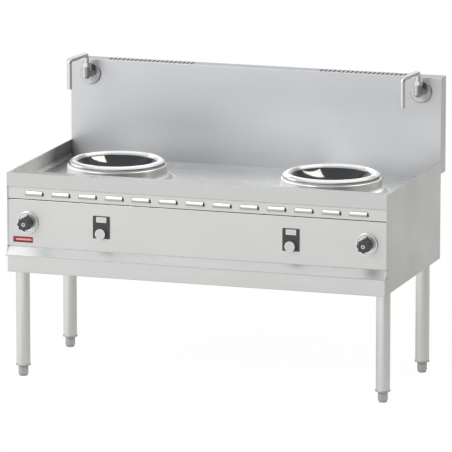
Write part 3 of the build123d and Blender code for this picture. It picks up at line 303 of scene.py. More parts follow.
def polished(name, colour, rough, smudge=0.03):
    """Polished or chromed metal with faint water spots."""
    g = Graph(name)
    clouds = g.noise(g.place, scale=9.0, detail=5.0, rough=0.6)
    spots = g.noise(g.place, scale=160.0, detail=2.0)
    level = g.remap(spots, 0.0, 1.0, start=0.62, end=0.72)
    g.feed(Base_Color=g.mix(level, colour, shade(colour, 0.93)),
           Roughness=g.math("ADD", g.remap(clouds, 0.0, smudge), g.math("MULTIPLY", level, 0.05), rough))
    g.set(Metallic=1.0)
    return g.material


def moulded(name, colour, rough, texture=0.15):
    """Moulded plastic or rubber: fine pebbling and a slightly uneven tone."""
    g = Graph(name)
    pebbles = g.noise(g.place, scale=900.0, rough=0.6)
    clouds = g.noise(g.place, scale=14.0)
    g.feed(Base_Color=g.mix(g.remap(clouds, 0.0, 1.0), shade(colour, 0.88), shade(colour, 1.12)),
           Roughness=g.math("ADD", g.remap(pebbles, -0.05, 0.05), rough))
    g.bump(pebbles, strength=texture, distance=0.0002)
    return g.material


def enamelled(name, colour, rough):
    """Painted plate with a satin coat and an orange-peel surface."""
    g = Graph(name)
    peel = g.noise(g.place, scale=500.0, detail=2.0, rough=0.4)
    clouds = g.noise(g.place, scale=30.0)
    g.feed(Base_Color=g.mix(g.remap(clouds, 0.0, 1.0), shade(colour, 0.94), shade(colour, 1.05)),
           Roughness=g.remap(peel, rough - 0.04, rough + 0.04))
    g.bump(peel, strength=0.1, distance=0.0002)
    return g.material


def black_glass(name, colour, rough):
    """Opaque glass ceramic, polished, with faint wiping marks."""
    g = Graph(name)
    wipes = g.noise(g.place, scale=12.0, detail=5.0, rough=0.65)
    g.feed(Base_Color=g.mix(g.remap(wipes, 0.0, 1.0), colour, shade(colour, 1.35)),
           Roughness=g.remap(wipes, rough, rough + 0.05))
    g.set(IOR=1.46)
    return g.material


FINISHES = {
    "worktop_steel": brushed("worktop_steel_finish", (0.63, 0.63, 0.62), 0.27, GRAIN_X, streak=0.03,
                             smudge=0.02, bump=0.03, reach=0.3, edge=0.7, painted_light=worktop_painted_light),
    "panel_steel": brushed("panel_steel_finish", (0.67, 0.67, 0.655), 0.38, GRAIN_X, reach=0.03),
    "splash_steel": brushed("splash_steel_finish", (0.62, 0.632, 0.65), 0.40, GRAIN_X, streak=0.035,
                            smudge=0.04, reach=0.06),
    "leg_steel": brushed("leg_steel_finish", (0.77, 0.77, 0.755), 0.25, GRAIN_Z, streak=0.04, reach=0.02),
    "foot_steel": brushed("foot_steel_finish", (0.60, 0.60, 0.59), 0.35, GRAIN_Z, streak=0.03),
    "ring_steel": polished("ring_steel_finish", (0.97, 0.96, 0.94), 0.13),
    "tap_chrome": polished("tap_chrome_finish", (0.78, 0.78, 0.785), 0.10),
    "knob_steel": brushed("knob_steel_finish", (0.66, 0.66, 0.65), 0.28, GRAIN_X, streak=0.03),
    "bowl_glass": black_glass("bowl_glass_finish", (0.012, 0.012, 0.013), 0.05),
    "seal_rubber": moulded("seal_rubber_finish", (0.55, 0.55, 0.54), 0.45),
    "coil_copper": polished("coil_copper_finish", (0.60, 0.32, 0.18), 0.35),
    "carrier_plastic": moulded("carrier_plastic_finish", (0.45, 0.45, 0.43), 0.55),
    "frame_steel": brushed("frame_steel_finish", (0.45, 0.46, 0.47), 0.45, GRAIN_X),
    "plate_black": moulded("plate_black_finish", (0.045, 0.045, 0.045), 0.35, texture=0.06),
    "display_white": enamelled("display_white_finish", (0.75, 0.76, 0.74), 0.15),
    "plate_red": enamelled("plate_red_finish", (0.40, 0.02, 0.03), 0.35),
    "tap_black": moulded("tap_black_finish", (0.026, 0.026, 0.028), 0.42, texture=0.2),
    "valve_brass": polished("valve_brass_finish", (0.60, 0.50, 0.32), 0.25),
    "pipe_steel": polished("pipe_steel_finish", (0.62, 0.62, 0.62), 0.22),
    "casing_aluminium": brushed("casing_aluminium_finish", (0.55, 0.55, 0.55), 0.45, GRAIN_Y),
    "fan_plastic": moulded("fan_plastic_finish", (0.03, 0.03, 0.03), 0.5),
}


def dress(node, finish):
    """Give a CAD node a finish."""
    for material_slot in frame["nodes"][node].material_slots:
        material_slot.material = finish


for entry in frame["record"]["subparts"]:
    dress(entry["node"], FINISHES[entry["material_slot"]])

# Nodes with a finish of their own, instead of their slot's shared one.
collar_finish = spun("collar_steel_finish", (0.80, 0.795, 0.78), 0.30)
flange_finish = polished("flange_chrome_finish", (0.60, 0.60, 0.60), 0.20)
body_finish = polished("body_chrome_finish", (0.78, 0.78, 0.785), 0.10)
bezel_finish = brushed("bezel_steel_finish", (0.82, 0.82, 0.81), 0.30, GRAIN_X, streak=0.02, reach=0.004)
louvre_finish = brushed("louvre_steel_finish", (0.67, 0.67, 0.655), 0.38, GRAIN_X, reach=0.03)
for node, finish in (("left_wok_collar", collar_finish), ("right_wok_collar", collar_finish),
                     ("tap_flanges", flange_finish), ("tap_bodies", body_finish),
                     ("tap_bezels", bezel_finish), ("louvre_strip", louvre_finish)):
    dress(node, finish)

# ---------------------------------------------------------------- marked faces, many with painted light and shade
TAP_X, TAP_KNOB_Z, TAP_Z = 0.715, 0.652, 1.139
RING_CREST = 0.865
STRIP_FACE, LOUVRE_LIP, LOUVRE_PITCH = -0.3975, 0.765, 0.114
LOUVRE_STRAIGHT, LOUVRE_REACH, LOUVRE_TALL = 0.032, 0.008, 0.020
PLATE_X, POWER_KNOB_Z, DISPLAY_Z = 0.400, 0.626, 0.682
SMALL_PLATE_X, SMALL_PLATE_Z = -0.736, 0.581
LEG_X = sum(corner.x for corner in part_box("front_right_leg")) / 2
SKIRT_TOP, PANEL_BOTTOM = 0.519, 0.5525


def base_of(finish):
    """A finish's graph and the socket that feeds its base colour."""
    g = Graph(finish.name, finish)
    return g, g.shader.inputs["Base Color"].links[0].from_socket


def near_axis(g, axis_x, axis_z):
    """x and z from the near one of a pair of front to back axes. x is mirrored on the left side."""
    x, _, z = g.split(g.place)
    return g.math("SUBTRACT", g.math("ABSOLUTE", x), axis_x), g.math("SUBTRACT", z, axis_z)


def round_wok(g):
    """Radius and bearing from the axis of the near wok: bearing 0 to the right, -pi / 2 to the cook."""
    x, y, _ = g.split(g.place)
    off_x, off_y = g.from_pair(x, WOK_X), g.math("SUBTRACT", y, WOK_Y)
    return g.length(off_x, off_y), g.math("ARCTAN2", off_y, off_x)


# In each pair below, a mark fades in from the first place to the second. A pair that ends in _ring,
# _arc or _band gives a mark's two sides instead.
def mark_tap_knobs(worn_depth=(0.0035, 0.0015), cap_depth=(0.0010, 0.0006), screw_ring=(0.0038, 0.0080)):
    """A greyer worn face, and a bright ring round the dark screw in the cap."""
    g, plain = base_of(FINISHES["tap_black"])
    _, y, _ = g.split(g.place)
    face_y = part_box("left_tap_knob")[0].y
    toned = g.smooth(y, *(face_y + depth for depth in worn_depth))
    cap = g.smooth(y, *(face_y + depth for depth in cap_depth))
    radius = g.length(*near_axis(g, TAP_X, TAP_KNOB_Z))
    ring = g.math("MULTIPLY", cap, g.between(radius, *screw_ring, soft=0.0003))
    g.feed(Base_Color=g.over(plain, (toned, (0.052, 0.052, 0.055)), (ring, (0.62, 0.62, 0.68))))


def mark_splashback(to_right=(-0.25, 0.20), off_end=(0.799, 0.797), downwards=(1.13, 0.93)):
    """Painted light: a little lighter at the lower right."""
    g, plain = base_of(FINISHES["splash_steel"])
    x, _, z = g.split(g.place)
    lighter = g.math("MULTIPLY", g.smooth(x, *to_right), g.smooth(x, *off_end), g.smooth(z, *downwards))
    g.feed(Base_Color=g.mix(lighter, plain, (0.80, 0.815, 0.84)))


def mark_tap_bezels(rim_radius=(0.0450, 0.0456), to_right=(-0.01, 0.02)):
    """Painted shade: dark on the outside of the rim, but for the left."""
    g, plain = base_of(bezel_finish)
    x, _, _ = g.split(g.place)
    radius = g.length(*near_axis(g, TAP_X, TAP_KNOB_Z))
    rim = g.math("MULTIPLY", g.smooth(radius, *rim_radius), g.smooth(g.from_pair(x, TAP_X), *to_right))
    g.feed(Base_Color=g.mix(rim, plain, (0.16, 0.16, 0.16)))


def mark_power_knobs(turned_ring=(0.0186, 0.0205), groove_half=0.0007, groove_band=(0.0125, 0.0180)):
    """A painted highlight ring on the fine turned edge, and a small index groove."""
    g, plain = base_of(FINISHES["knob_steel"])
    off_x, off_z = near_axis(g, PLATE_X, POWER_KNOB_Z)
    turned = g.between(g.length(off_x, off_z), *turned_ring, soft=0.0004)
    groove = g.math("MULTIPLY", g.between(off_x, -groove_half, groove_half, soft=0.0002),
                    g.between(off_z, *groove_band, soft=0.0003))
    g.feed(Base_Color=g.over(plain, (turned, (0.90, 0.90, 0.89)), (groove, (0.30, 0.30, 0.30))))


def mark_louvres(off_strip=(0.001, 0.003), down_bend=(0.012, 0.003)):
    """Painted shade: hoods darker under their bend."""
    g, plain = base_of(louvre_finish)
    _, y, z = g.split(g.place)
    under = g.math("MULTIPLY", g.smooth(y, *(STRIP_FACE - out for out in off_strip)),
                   g.smooth(z, *(LOUVRE_LIP + up for up in down_bend)))
    g.feed(Base_Color=g.mix(under, plain, (0.36, 0.36, 0.355)))


def mark_front(face_y=(-0.370, -0.375), edge_x=(-0.7885, -0.7895), edge_y=(-0.375, -0.385),
               slant_left=(-0.62, -0.68), bend_half=0.0018):
    """Painted highlights along the left edge and at the left end of the slant, and painted shade along its
    two bends.
    """
    g, plain = base_of(FINISHES["panel_steel"])
    x, y, z = g.split(g.place)
    face = g.smooth(y, *face_y)
    slant = g.between(z, SKIRT_TOP, PANEL_BOTTOM, soft=0.0008)
    slant_end = g.math("MULTIPLY", g.smooth(x, *slant_left), slant, face)
    edge = g.math("MULTIPLY", g.smooth(x, *edge_x), g.smooth(y, *edge_y))
    # Painted highlights on the left edge and at the left end of the slant.
    painted_bright = g.math("MAXIMUM", edge, slant_end)
    # Painted shade along the slant's two bends.
    lower, upper = (g.between(z, bend - bend_half, bend + bend_half, soft=0.0006)
                    for bend in (SKIRT_TOP, PANEL_BOTTOM))
    bends = g.math("MULTIPLY", g.math("MAXIMUM", lower, upper), face)
    g.feed(Base_Color=g.over(plain, (painted_bright, (0.97, 0.97, 0.97)), (bends, (0.40, 0.40, 0.40))),
           Metallic=g.math("SUBTRACT", STEEL_METALLIC, g.math("MULTIPLY", painted_bright, PAINTED_LIGHT_METALLIC_CUT)))


def mark_rings(below_crest=(0.012, 0.003), front_left_arc=(-2.95, -2.05)):
    """Painted light and shade: bright along the crest, painted shade on the slopes below it, and painted
    light all over at the front left.
    """
    g, plain = base_of(FINISHES["ring_steel"])
    _, bearing = round_wok(g)
    _, _, z = g.split(g.place)
    crest = g.smooth(z, *(RING_CREST - down for down in below_crest))
    # Painted highlight on the crest and at the front left, painted shade on the rest of the ring.
    bright = g.math("MAXIMUM", crest, g.between(bearing, *front_left_arc, soft=0.15))
    g.feed(Base_Color=g.mix(bright, (0.46, 0.46, 0.455), plain))


def mark_collars(left_arc=(-2.95, -1.95), cook_arc=(-1.65, -0.95), right_arc=(-0.45, 0.55),
                 foot_radius=(0.2105, 0.2165), glint_ring=(0.2060, 0.2100), glint_arc=(-0.95, 0.45)):
    """Painted light and shade: painted reflections at the front left and on the right, painted shade
    towards the cook and where the foot runs out on the pan, and a painted highlight along the middle of the
    foot's bend."""
    g, plain = base_of(collar_finish)
    radius, bearing = round_wok(g)
    # Painted reflections at the front left and on the right, painted shade towards the cook and on the
    # foot, and a painted highlight on the foot's bend.
    painted_bright = g.between(bearing, *left_arc, soft=0.18)
    cook_side = g.between(bearing, *cook_arc, soft=0.2)
    right = g.between(bearing, *right_arc, soft=0.25)
    foot = g.smooth(radius, *foot_radius)
    glint = g.math("MULTIPLY", g.between(radius, *glint_ring, soft=0.0015),
                   g.between(bearing, *glint_arc, soft=0.15))
    tone = g.over(plain, (cook_side, (0.52, 0.515, 0.50)), (right, (0.88, 0.865, 0.835)),
                  (foot, (0.50, 0.50, 0.49)), (painted_bright, (0.96, 0.955, 0.94)), (glint, (1.0, 0.995, 0.97)))
    # Less metallic where light is painted on.
    right_metallic_cut = g.math("MULTIPLY", right, 0.4, g.math("SUBTRACT", 1.0, foot))
    metallic_cut = g.math("MULTIPLY", g.math("MAXIMUM", painted_bright, glint, right_metallic_cut), PAINTED_LIGHT_METALLIC_CUT)
    g.feed(Base_Color=tone, Metallic=g.math("SUBTRACT", STEEL_METALLIC, metallic_cut))


def mark_tap_bodies(to_right=(-0.007, 0.001)):
    """Painted shade: darker on the right side."""
    g, plain = base_of(body_finish)
    x, _, _ = g.split(g.place)
    painted_dark = g.smooth(g.from_pair(x, TAP_X), *to_right)
    g.feed(Base_Color=g.mix(painted_dark, plain, (0.40, 0.40, 0.40)))


def mark_tap_flanges(slope=(0.9, 0.5), to_upper_right=(-0.035, 0.015)):
    """Painted shade: darker towards the upper right."""
    g, plain = base_of(flange_finish)
    x, _, z = g.split(g.place)
    aslant = g.math("ADD", g.math("MULTIPLY", g.from_pair(x, TAP_X), slope[0]),
                    g.math("MULTIPLY", g.math("SUBTRACT", z, TAP_Z), slope[1]))
    g.feed(Base_Color=g.mix(g.smooth(aslant, *to_upper_right), plain, (0.36, 0.36, 0.355)))


def mark_small_plate(pale_band=(-0.030, 0.036), band_half=0.0035, downwards=(0.002, -0.010)):
    """A bare red field, darker below, with one pale band."""
    g, plain = base_of(FINISHES["plate_red"])
    x, _, z = g.split(g.place)
    off_x, off_z = g.math("SUBTRACT", x, SMALL_PLATE_X), g.math("SUBTRACT", z, SMALL_PLATE_Z)
    band = g.math("MULTIPLY", g.between(off_x, *pale_band, soft=0.002),
                  g.between(off_z, -band_half, band_half, soft=0.0015), 0.85)
    g.feed(Base_Color=g.over(plain, (g.smooth(off_z, *downwards), (0.14, 0.008, 0.012)),
                             (band, (0.86, 0.50, 0.48))))


def mark_legs(left_side=(0.004, -0.002), right_side=(0.004, 0.012)):
    """Painted reflections: those on the right are brighter on their left side, those on the left darker on
    their right.
    """
    g, plain = base_of(FINISHES["leg_steel"])
    x, _, _ = g.split(g.place)
    off_x = g.from_pair(x, LEG_X)
    # Painted reflections on the sides of the legs.
    painted_bright = g.math("MULTIPLY", g.smooth(off_x, *left_side), g.math("GREATER_THAN", x, 0.0))
    painted_dark = g.math("MULTIPLY", g.smooth(off_x, *right_side), g.math("LESS_THAN", x, 0.0))
    g.feed(Base_Color=g.over(plain, (painted_bright, (0.85, 0.85, 0.835)), (painted_dark, (0.743, 0.743, 0.73))))


for mark in (mark_legs, mark_tap_knobs, mark_splashback, mark_tap_bezels, mark_power_knobs, mark_louvres,
             mark_front, mark_rings, mark_collars, mark_tap_bodies, mark_tap_flanges, mark_small_plate):
    mark()

# ---------------------------------------------------------------- pieces
details = []


class Shapes:
    """Vertices and faces of one piece, in metres."""

    def __init__(self):
        self.vertices, self.faces = [], []

    def loft(self, loops):
        """Closed skin between loops of the same number of points, with a face at each end."""
        start, count = len(self.vertices), len(loops[0])
        for loop in loops:
            self.vertices += loop
        for row in range(len(loops) - 1):
            for i in range(count):
                j = (i + 1) % count
                a, b = start + row * count, start + (row + 1) * count
                self.faces.append((a + i, a + j, b + j, b + i))
        last = start + (len(loops) - 1) * count
        self.faces.append(tuple(range(start, start + count)))
        self.faces.append(tuple(range(last, last + count)))

    def inlay(self, outline, back, front, edge):
        """A thin flat shape on a front or rear face: outline in x and z, with an edge chamfer."""
        mid_x = sum(x for x, _ in outline) / len(outline)
        mid_z = sum(z for _, z in outline) / len(outline)

        def drawn_in(x, z):
            reach = max(abs(x - mid_x), abs(z - mid_z), 1e-6)
            share = max(0.0, 1 - edge / reach)
            return mid_x + (x - mid_x) * share, mid_z + (z - mid_z) * share

        inner = [drawn_in(x, z) for x, z in outline]
        self.loft([[(x, back, z) for x, z in outline],
                   [(x, front + (0.5 * edge if front < back else -0.5 * edge), z) for x, z in outline],
                   [(x, front, z) for x, z in inner]])


def piece(name, shapes, finish, body, smooth=False):
    """The object made of these shapes, which rides on a body and has the given finish as its one material.
    """
    mesh = bpy.data.meshes.new(name)
    mesh.from_pydata(shapes.vertices, [], shapes.faces)
    shell = bmesh.new()
    shell.from_mesh(mesh)
    bmesh.ops.recalc_face_normals(shell, faces=shell.faces)
    shell.to_mesh(mesh)
    shell.free()
    mesh.polygons.foreach_set("use_smooth", [smooth] * len(mesh.polygons))
    mesh.materials.append(finish)
    made = bpy.data.objects.new(name, mesh)
    bpy.context.scene.collection.objects.link(made)
    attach(made, body)
    details.append(made)


def bar(x, z, width, height, turn=0.0):
    """Outline of a bar round (x, z), turned by an angle, with its corners cut."""
    w, h = width / 2, height / 2
    cut = min(w, h) * 0.4
    corners = ((w - cut, -h), (w, cut - h), (w, h - cut), (w - cut, h),
               (cut - w, h), (-w, h - cut), (-w, cut - h), (cut - w, -h))
    return [(x + a * cos(turn) - b * sin(turn), z + a * sin(turn) + b * cos(turn)) for a, b in corners]


# Index marks on the tap bezels, above the knobs and a little to their right
INDEX_RIGHT, INDEX_UP, INDEX_WIDE, INDEX_TALL = 0.0025, 0.0295, 0.006, 0.0095
BEZEL_LIP = 0.002

bezel_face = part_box("tap_bezels")[0].y + BEZEL_LIP
marks = Shapes()
for side in SIDES:
    marks.inlay(bar(side * TAP_X + INDEX_RIGHT, TAP_KNOB_Z + INDEX_UP, INDEX_WIDE, INDEX_TALL),
                back=bezel_face + 0.0005, front=bezel_face - 0.0008, edge=0.0003)
piece("bezel_index_marks", marks, FINISHES["plate_black"], "range")

# Dial ticks on the control plates: an arc round each knob, open below, with each third tick longer
TICKS, TICK_STEP = 13, 22
TICK_INNER, TICK_MIDDLE, LONG_TICK_MIDDLE = 0.0238, 0.0267, 0.0275
TICK_WIDE = 0.0011

plate_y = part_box("control_plates")[0].y
tick_finish = enamelled("tick_print_finish", (0.15, 0.12, 0.11), 0.4)
ticks = Shapes()
for side in SIDES:
    for step in range(TICKS):
        angle = radians(90 + (step - TICKS // 2) * TICK_STEP)
        middle = TICK_MIDDLE if step % 3 else LONG_TICK_MIDDLE
        tick_x, tick_z = side * PLATE_X + cos(angle) * middle, POWER_KNOB_Z + sin(angle) * middle
        ticks.inlay(bar(tick_x, tick_z, 2 * (middle - TICK_INNER), TICK_WIDE, angle),
                    back=plate_y + 0.0004, front=plate_y - 0.0002, edge=0.0001)
piece("dial_ticks", ticks, tick_finish, "range")

# Four plain digit shapes in each display: three level bars, and two uprights on either side
DIGITS, DIGIT_PITCH, DIGIT_LEVEL, DIGIT_SIDE = 4, 0.0078, 0.0042, 0.0021
BAR_LONG, BAR_TALL, BAR_THICK = 0.0034, 0.0032, 0.0009

display_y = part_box("displays")[0].y
bar_finish = enamelled("display_bar_finish", (0.50, 0.51, 0.50), 0.2)
bars = Shapes()
for side in SIDES:
    for digit in range(DIGITS):
        mid = side * PLATE_X + (digit - (DIGITS - 1) / 2) * DIGIT_PITCH
        outlines = [bar(mid, DISPLAY_Z + level * DIGIT_LEVEL, BAR_LONG, BAR_THICK) for level in (-1, 0, 1)]
        outlines += [bar(mid + off_x, DISPLAY_Z + level * DIGIT_LEVEL, BAR_THICK, BAR_TALL)
                     for off_x in (-DIGIT_SIDE, DIGIT_SIDE) for level in (-0.5, 0.5)]
        for outline in outlines:
            bars.inlay(outline, back=display_y + 0.0003, front=display_y - 0.0001, edge=0.0001)
piece("display_bars", bars, bar_finish, "range")

# Painted shade at the right ends of the louvre hoods: dark linings just outside the strip, round the end's
# quarter ellipse. Each section point has its share of the hood's height and of its reach.
HOODS_EACH_SIDE = 6
END_SHADE_SECTION = ((0.0, 1.0), (0.2, 0.98), (0.4, 0.92), (0.55, 0.84), (0.68, 0.73),
                 (0.68, 0.66), (0.55, 0.76), (0.4, 0.84), (0.2, 0.90), (0.0, 0.92))
END_SHADE_TURNS = [radians(6 + step * 9) for step in range(7)]
END_SHADE_REACH, END_SHADE_Z = 1.05 * LOUVRE_REACH, LOUVRE_LIP + 0.0006

end_shades = Shapes()
for hood in range(-HOODS_EACH_SIDE, HOODS_EACH_SIDE + 1):
    end_x = hood * LOUVRE_PITCH + LOUVRE_STRAIGHT
    end_shades.loft([[(end_x + END_SHADE_REACH * cos(turn) * wide, STRIP_FACE - END_SHADE_REACH * sin(turn) * wide,
                   END_SHADE_Z + LOUVRE_TALL * high) for high, wide in END_SHADE_SECTION] for turn in END_SHADE_TURNS])
piece("louvre_mouths", end_shades, FINISHES["fan_plastic"], "range", smooth=True)


def loose_parts(node):
    """Lowest and highest corners of a CAD node's separate solids."""
    held = frame["nodes"][node]
    shell = bmesh.new()
    shell.from_mesh(held.data)
    shell.transform(held.matrix_world)
    bmesh.ops.remove_doubles(shell, verts=shell.verts, dist=1e-6)
    seen, found = set(), []
    for start in shell.verts:
        if start in seen:
            continue
        seen.add(start)
        reached = [start]
        for vertex in reached:
            fresh = {edge.other_vert(vertex) for edge in vertex.link_edges} - seen
            seen |= fresh
            reached += fresh
        found.append([Vector([pick(v.co[k] for v in reached) for k in range(3)]) for pick in (min, max)])
    shell.free()
    return found


# Cross slots in the heads of the flange screws and of the rear screws
SLOT_LONG, SLOT_WIDE = 0.56, 0.2
SLOT_DEEP, FLANGE_SLOT_PROUD, SLOT_EDGE = 0.0004, 0.00005, 0.00005

for node, front_side in (("flange_screws", True), ("rear_screws", False)):
    slots = Shapes()
    for low, high in loose_parts(node):
        mid_x, mid_z = (low.x + high.x) / 2, (low.z + high.z) / 2
        across = (high.x - low.x) * SLOT_LONG
        back, front = ((low.y + SLOT_DEEP, low.y - FLANGE_SLOT_PROUD) if front_side
                       else (high.y - SLOT_DEEP, high.y))
        for turn in (radians(45), radians(135)):
            slots.inlay(bar(mid_x, mid_z, across, across * SLOT_WIDE, turn), back, front, SLOT_EDGE)
    piece(node.replace("screws", "screw_slots"), slots, FINISHES["fan_plastic"], "range")

# ---------------------------------------------------------------- stage
# White paper floor and white studio. Metal sees them too: to it the studio is darker on the right,
# where it has no lamp, on the left and low behind, and on the floor close by. Everything else is lit
# at a plain level.
FLOOR_HALF = 14.0
FLOOR_TONE = (0.92, 0.92, 0.92)
PAPER_GLOW = 1.03
FLOOR_WHITE_SHARE = 0.93
FLOOR_GLOSS_SHARE = 0.6
STUDIO_LEVEL = 0.58
DARK_RIGHT, DARK_LEFT, DARK_BEHIND, DARK_NEAR = 0.80, 0.60, 0.60, 0.35
WHITE, WARM, COOL = (1.0, 1.0, 1.0), (1.0, 0.975, 0.935), (0.94, 0.97, 1.0)
TO_WARM, TO_COOL = (0.1, 0.5), (0.4, 0.9)
# Half the range's width and depth, and how high above the floor the metal is that mirrors it.
HALF_WIDTH, HALF_DEPTH, METAL_HEIGHT = 0.8, 0.4, 0.4


def dark_right(g, to_x, to_y):
    """How much darker the studio is towards a direction on the right, and less so at the back."""
    return g.math("MULTIPLY", g.smooth(to_x, 0.2, 0.55, high=DARK_RIGHT),
                  g.smooth(to_y, 0.2, 0.9, low=1.0, high=0.3))


def floor_look():
    """Plain white paper to the camera. Metal sees it darker close by, but for the front and the left,
    and darker on the right, as seen from the near part of the range."""
    g = Graph("studio_floor_look")
    g.set(Base_Color=(*FLOOR_TONE, 1.0), Roughness=0.9)
    rays = g.add("ShaderNodeLightPath").outputs
    floor_x, floor_y, _ = g.split(g.place)
    # Directions from the place on the range that most likely mirrors this place of the floor.
    off_x = g.math("SUBTRACT", floor_x, g.smooth(floor_x, -1.0, 1.0, low=-HALF_WIDTH, high=HALF_WIDTH))
    off_y = g.math("SUBTRACT", floor_y, g.smooth(floor_y, -0.8, 0.8, low=-HALF_DEPTH, high=HALF_DEPTH))
    slant = g.length(g.length(off_x, off_y), METAL_HEIGHT)
    to_x, to_y = g.math("DIVIDE", off_x, slant), g.math("DIVIDE", off_y, slant)
    away = g.length(floor_x, floor_y)
    near = g.math("MULTIPLY", g.smooth(away, 3.2, 2.0, high=DARK_NEAR), g.smooth(to_x, -0.35, -0.1),
                  g.smooth(floor_y, -2.2, -1.4))
    aside = g.math("MULTIPLY", dark_right(g, to_x, to_y), g.smooth(away, 2.5, 4.5, low=0.55))
    dimmed = g.math("MULTIPLY", rays["Is Glossy Ray"], g.math("MAXIMUM", near, aside))
    warm = g.math("MULTIPLY", rays["Is Glossy Ray"], g.smooth(to_x, *TO_WARM))
    paper = g.add("ShaderNodeEmission")
    g.link(g.math("SUBTRACT", PAPER_GLOW, dimmed), paper.inputs["Strength"])
    g.link(g.mix(warm, WHITE, WARM), paper.inputs["Color"])
    mirrored = g.math("MINIMUM", g.math("ADD", rays["Is Glossy Ray"], rays["Is Transmission Ray"]), 1.0)
    share = g.math("ADD", g.math("MULTIPLY", rays["Is Camera Ray"], FLOOR_WHITE_SHARE),
                   g.math("MULTIPLY", mirrored, FLOOR_GLOSS_SHARE))
    blend = g.add("ShaderNodeMixShader")
    g.link(share, blend.inputs["Fac"])
    g.link(g.shader.outputs["BSDF"], blend.inputs[1])
    g.link(paper.outputs["Emission"], blend.inputs[2])
    g.link(blend.outputs["Shader"], g.tree.nodes["Material Output"].inputs["Surface"])
    return g.material


def studio_look(world):
    """White to the camera, shaded by direction to metal and glass, and a plain level to the rest."""
    g = Graph("studio", world)
    rays = g.add("ShaderNodeLightPath").outputs
    to_x, to_y, to_z = g.split(g.tree.nodes["Texture Coordinate"].outputs["Generated"])
    right = g.math("MULTIPLY", dark_right(g, to_x, to_y), g.smooth(to_z, 0.3, 0.7, low=1.0, high=0.0))
    left = g.math("MULTIPLY", g.smooth(to_x, -0.35, -0.65, high=DARK_LEFT), g.smooth(to_y, 0.1, 0.4))
    behind = g.math("MULTIPLY", g.smooth(to_y, 0.1, 0.8, high=DARK_BEHIND),
                    g.smooth(to_z, 0.05, 0.3, low=1.0, high=0.0))
    studio = g.math("SUBTRACT", g.math("SUBTRACT", 1.0, right), g.math("ADD", left, behind))
    mirrored = g.math("ADD", rays["Is Glossy Ray"], rays["Is Transmission Ray"])
    strength = g.math("ADD", g.math("MULTIPLY", studio, mirrored),
                      g.math("MULTIPLY", g.math("SUBTRACT", 1.0, mirrored), STUDIO_LEVEL))
    warm = g.math("MULTIPLY", mirrored, g.smooth(to_x, *TO_WARM))
    cool = g.math("MULTIPLY", mirrored, g.smooth(to_z, *TO_COOL))
    backdrop = g.tree.nodes["Background"]
    g.link(g.math("MAXIMUM", strength, rays["Is Camera Ray"]), backdrop.inputs["Strength"])
    g.link(g.over(WHITE, (warm, WARM), (cool, COOL)), backdrop.inputs["Color"])


floor_mesh = bpy.data.meshes.new("studio_floor")
floor_mesh.from_pydata([(-FLOOR_HALF, -FLOOR_HALF, 0), (FLOOR_HALF, -FLOOR_HALF, 0),
                        (FLOOR_HALF, FLOOR_HALF, 0), (-FLOOR_HALF, FLOOR_HALF, 0)], [], [(0, 1, 2, 3)])
floor_mesh.materials.append(floor_look())
floor = bpy.data.objects.new("studio_floor", floor_mesh)
bpy.context.scene.collection.objects.link(floor)

world = bpy.data.worlds.new("studio")
bpy.context.scene.world = world
studio_look(world)

# ---------------------------------------------------------------- lamps
centre = (cad_low + cad_high) / 2
BOWLS = ("left_glass_bowl", "right_glass_bowl")
COLLARS = ("left_wok_collar", "right_wok_collar")
RINGS = ("left_wok_ring", "right_wok_ring")


def shown_by(lamp, name, nodes, others=()):
    """The lamp lights these CAD nodes and other objects alone."""
    receivers = bpy.data.collections.new(name)
    for lit in [frame["nodes"][node] for node in nodes] + list(others):
        receivers.objects.link(lit)
    lamp.light_linking.receiver_collection = receivers


def area_light(name, width, height, power):
    """A rectangular area light and its object."""
    light = bpy.data.lights.new(name, "AREA")
    light.shape = "RECTANGLE"
    light.size, light.size_y = width, height
    light.energy = power
    lamp = bpy.data.objects.new(name, light)
    bpy.context.scene.collection.objects.link(lamp)
    return light, lamp


def softbox(name, place, size, power):
    """A large area lamp at place, turned to the middle of the range."""
    _, lamp = area_light(name, *size, power)
    lamp.location = place
    lamp.rotation_euler = (centre - Vector(place)).to_track_quat("-Z", "Y").to_euler()
    return lamp


# The key light. Its glare is flagged off the long bend of the worktop, the rings, the tap bezels and
# the power knobs: a twin without glare lights these.
KEY_PLACE, KEY_SIZE, KEY_POWER = (-4.4, -6.6, 5.0), (3.6, 2.8), 300.0
FLAGGED = ("worktop_pan", *RINGS, "tap_bezels", "left_power_knob", "right_power_knob")
key = softbox("key_softbox", KEY_PLACE, KEY_SIZE, KEY_POWER)
shown_by(key, "key_receivers", [node for node in frame["nodes"] if node not in FLAGGED], details)
flagged = softbox("flagged_softbox", KEY_PLACE, KEY_SIZE, KEY_POWER)
flagged.visible_glossy = False
shown_by(flagged, "flagged_receivers", FLAGGED, [floor])

WOKS_MIDDLE = Vector((0.0, WOK_Y, 0.8))
BANNER_DISTANCE = 8.0


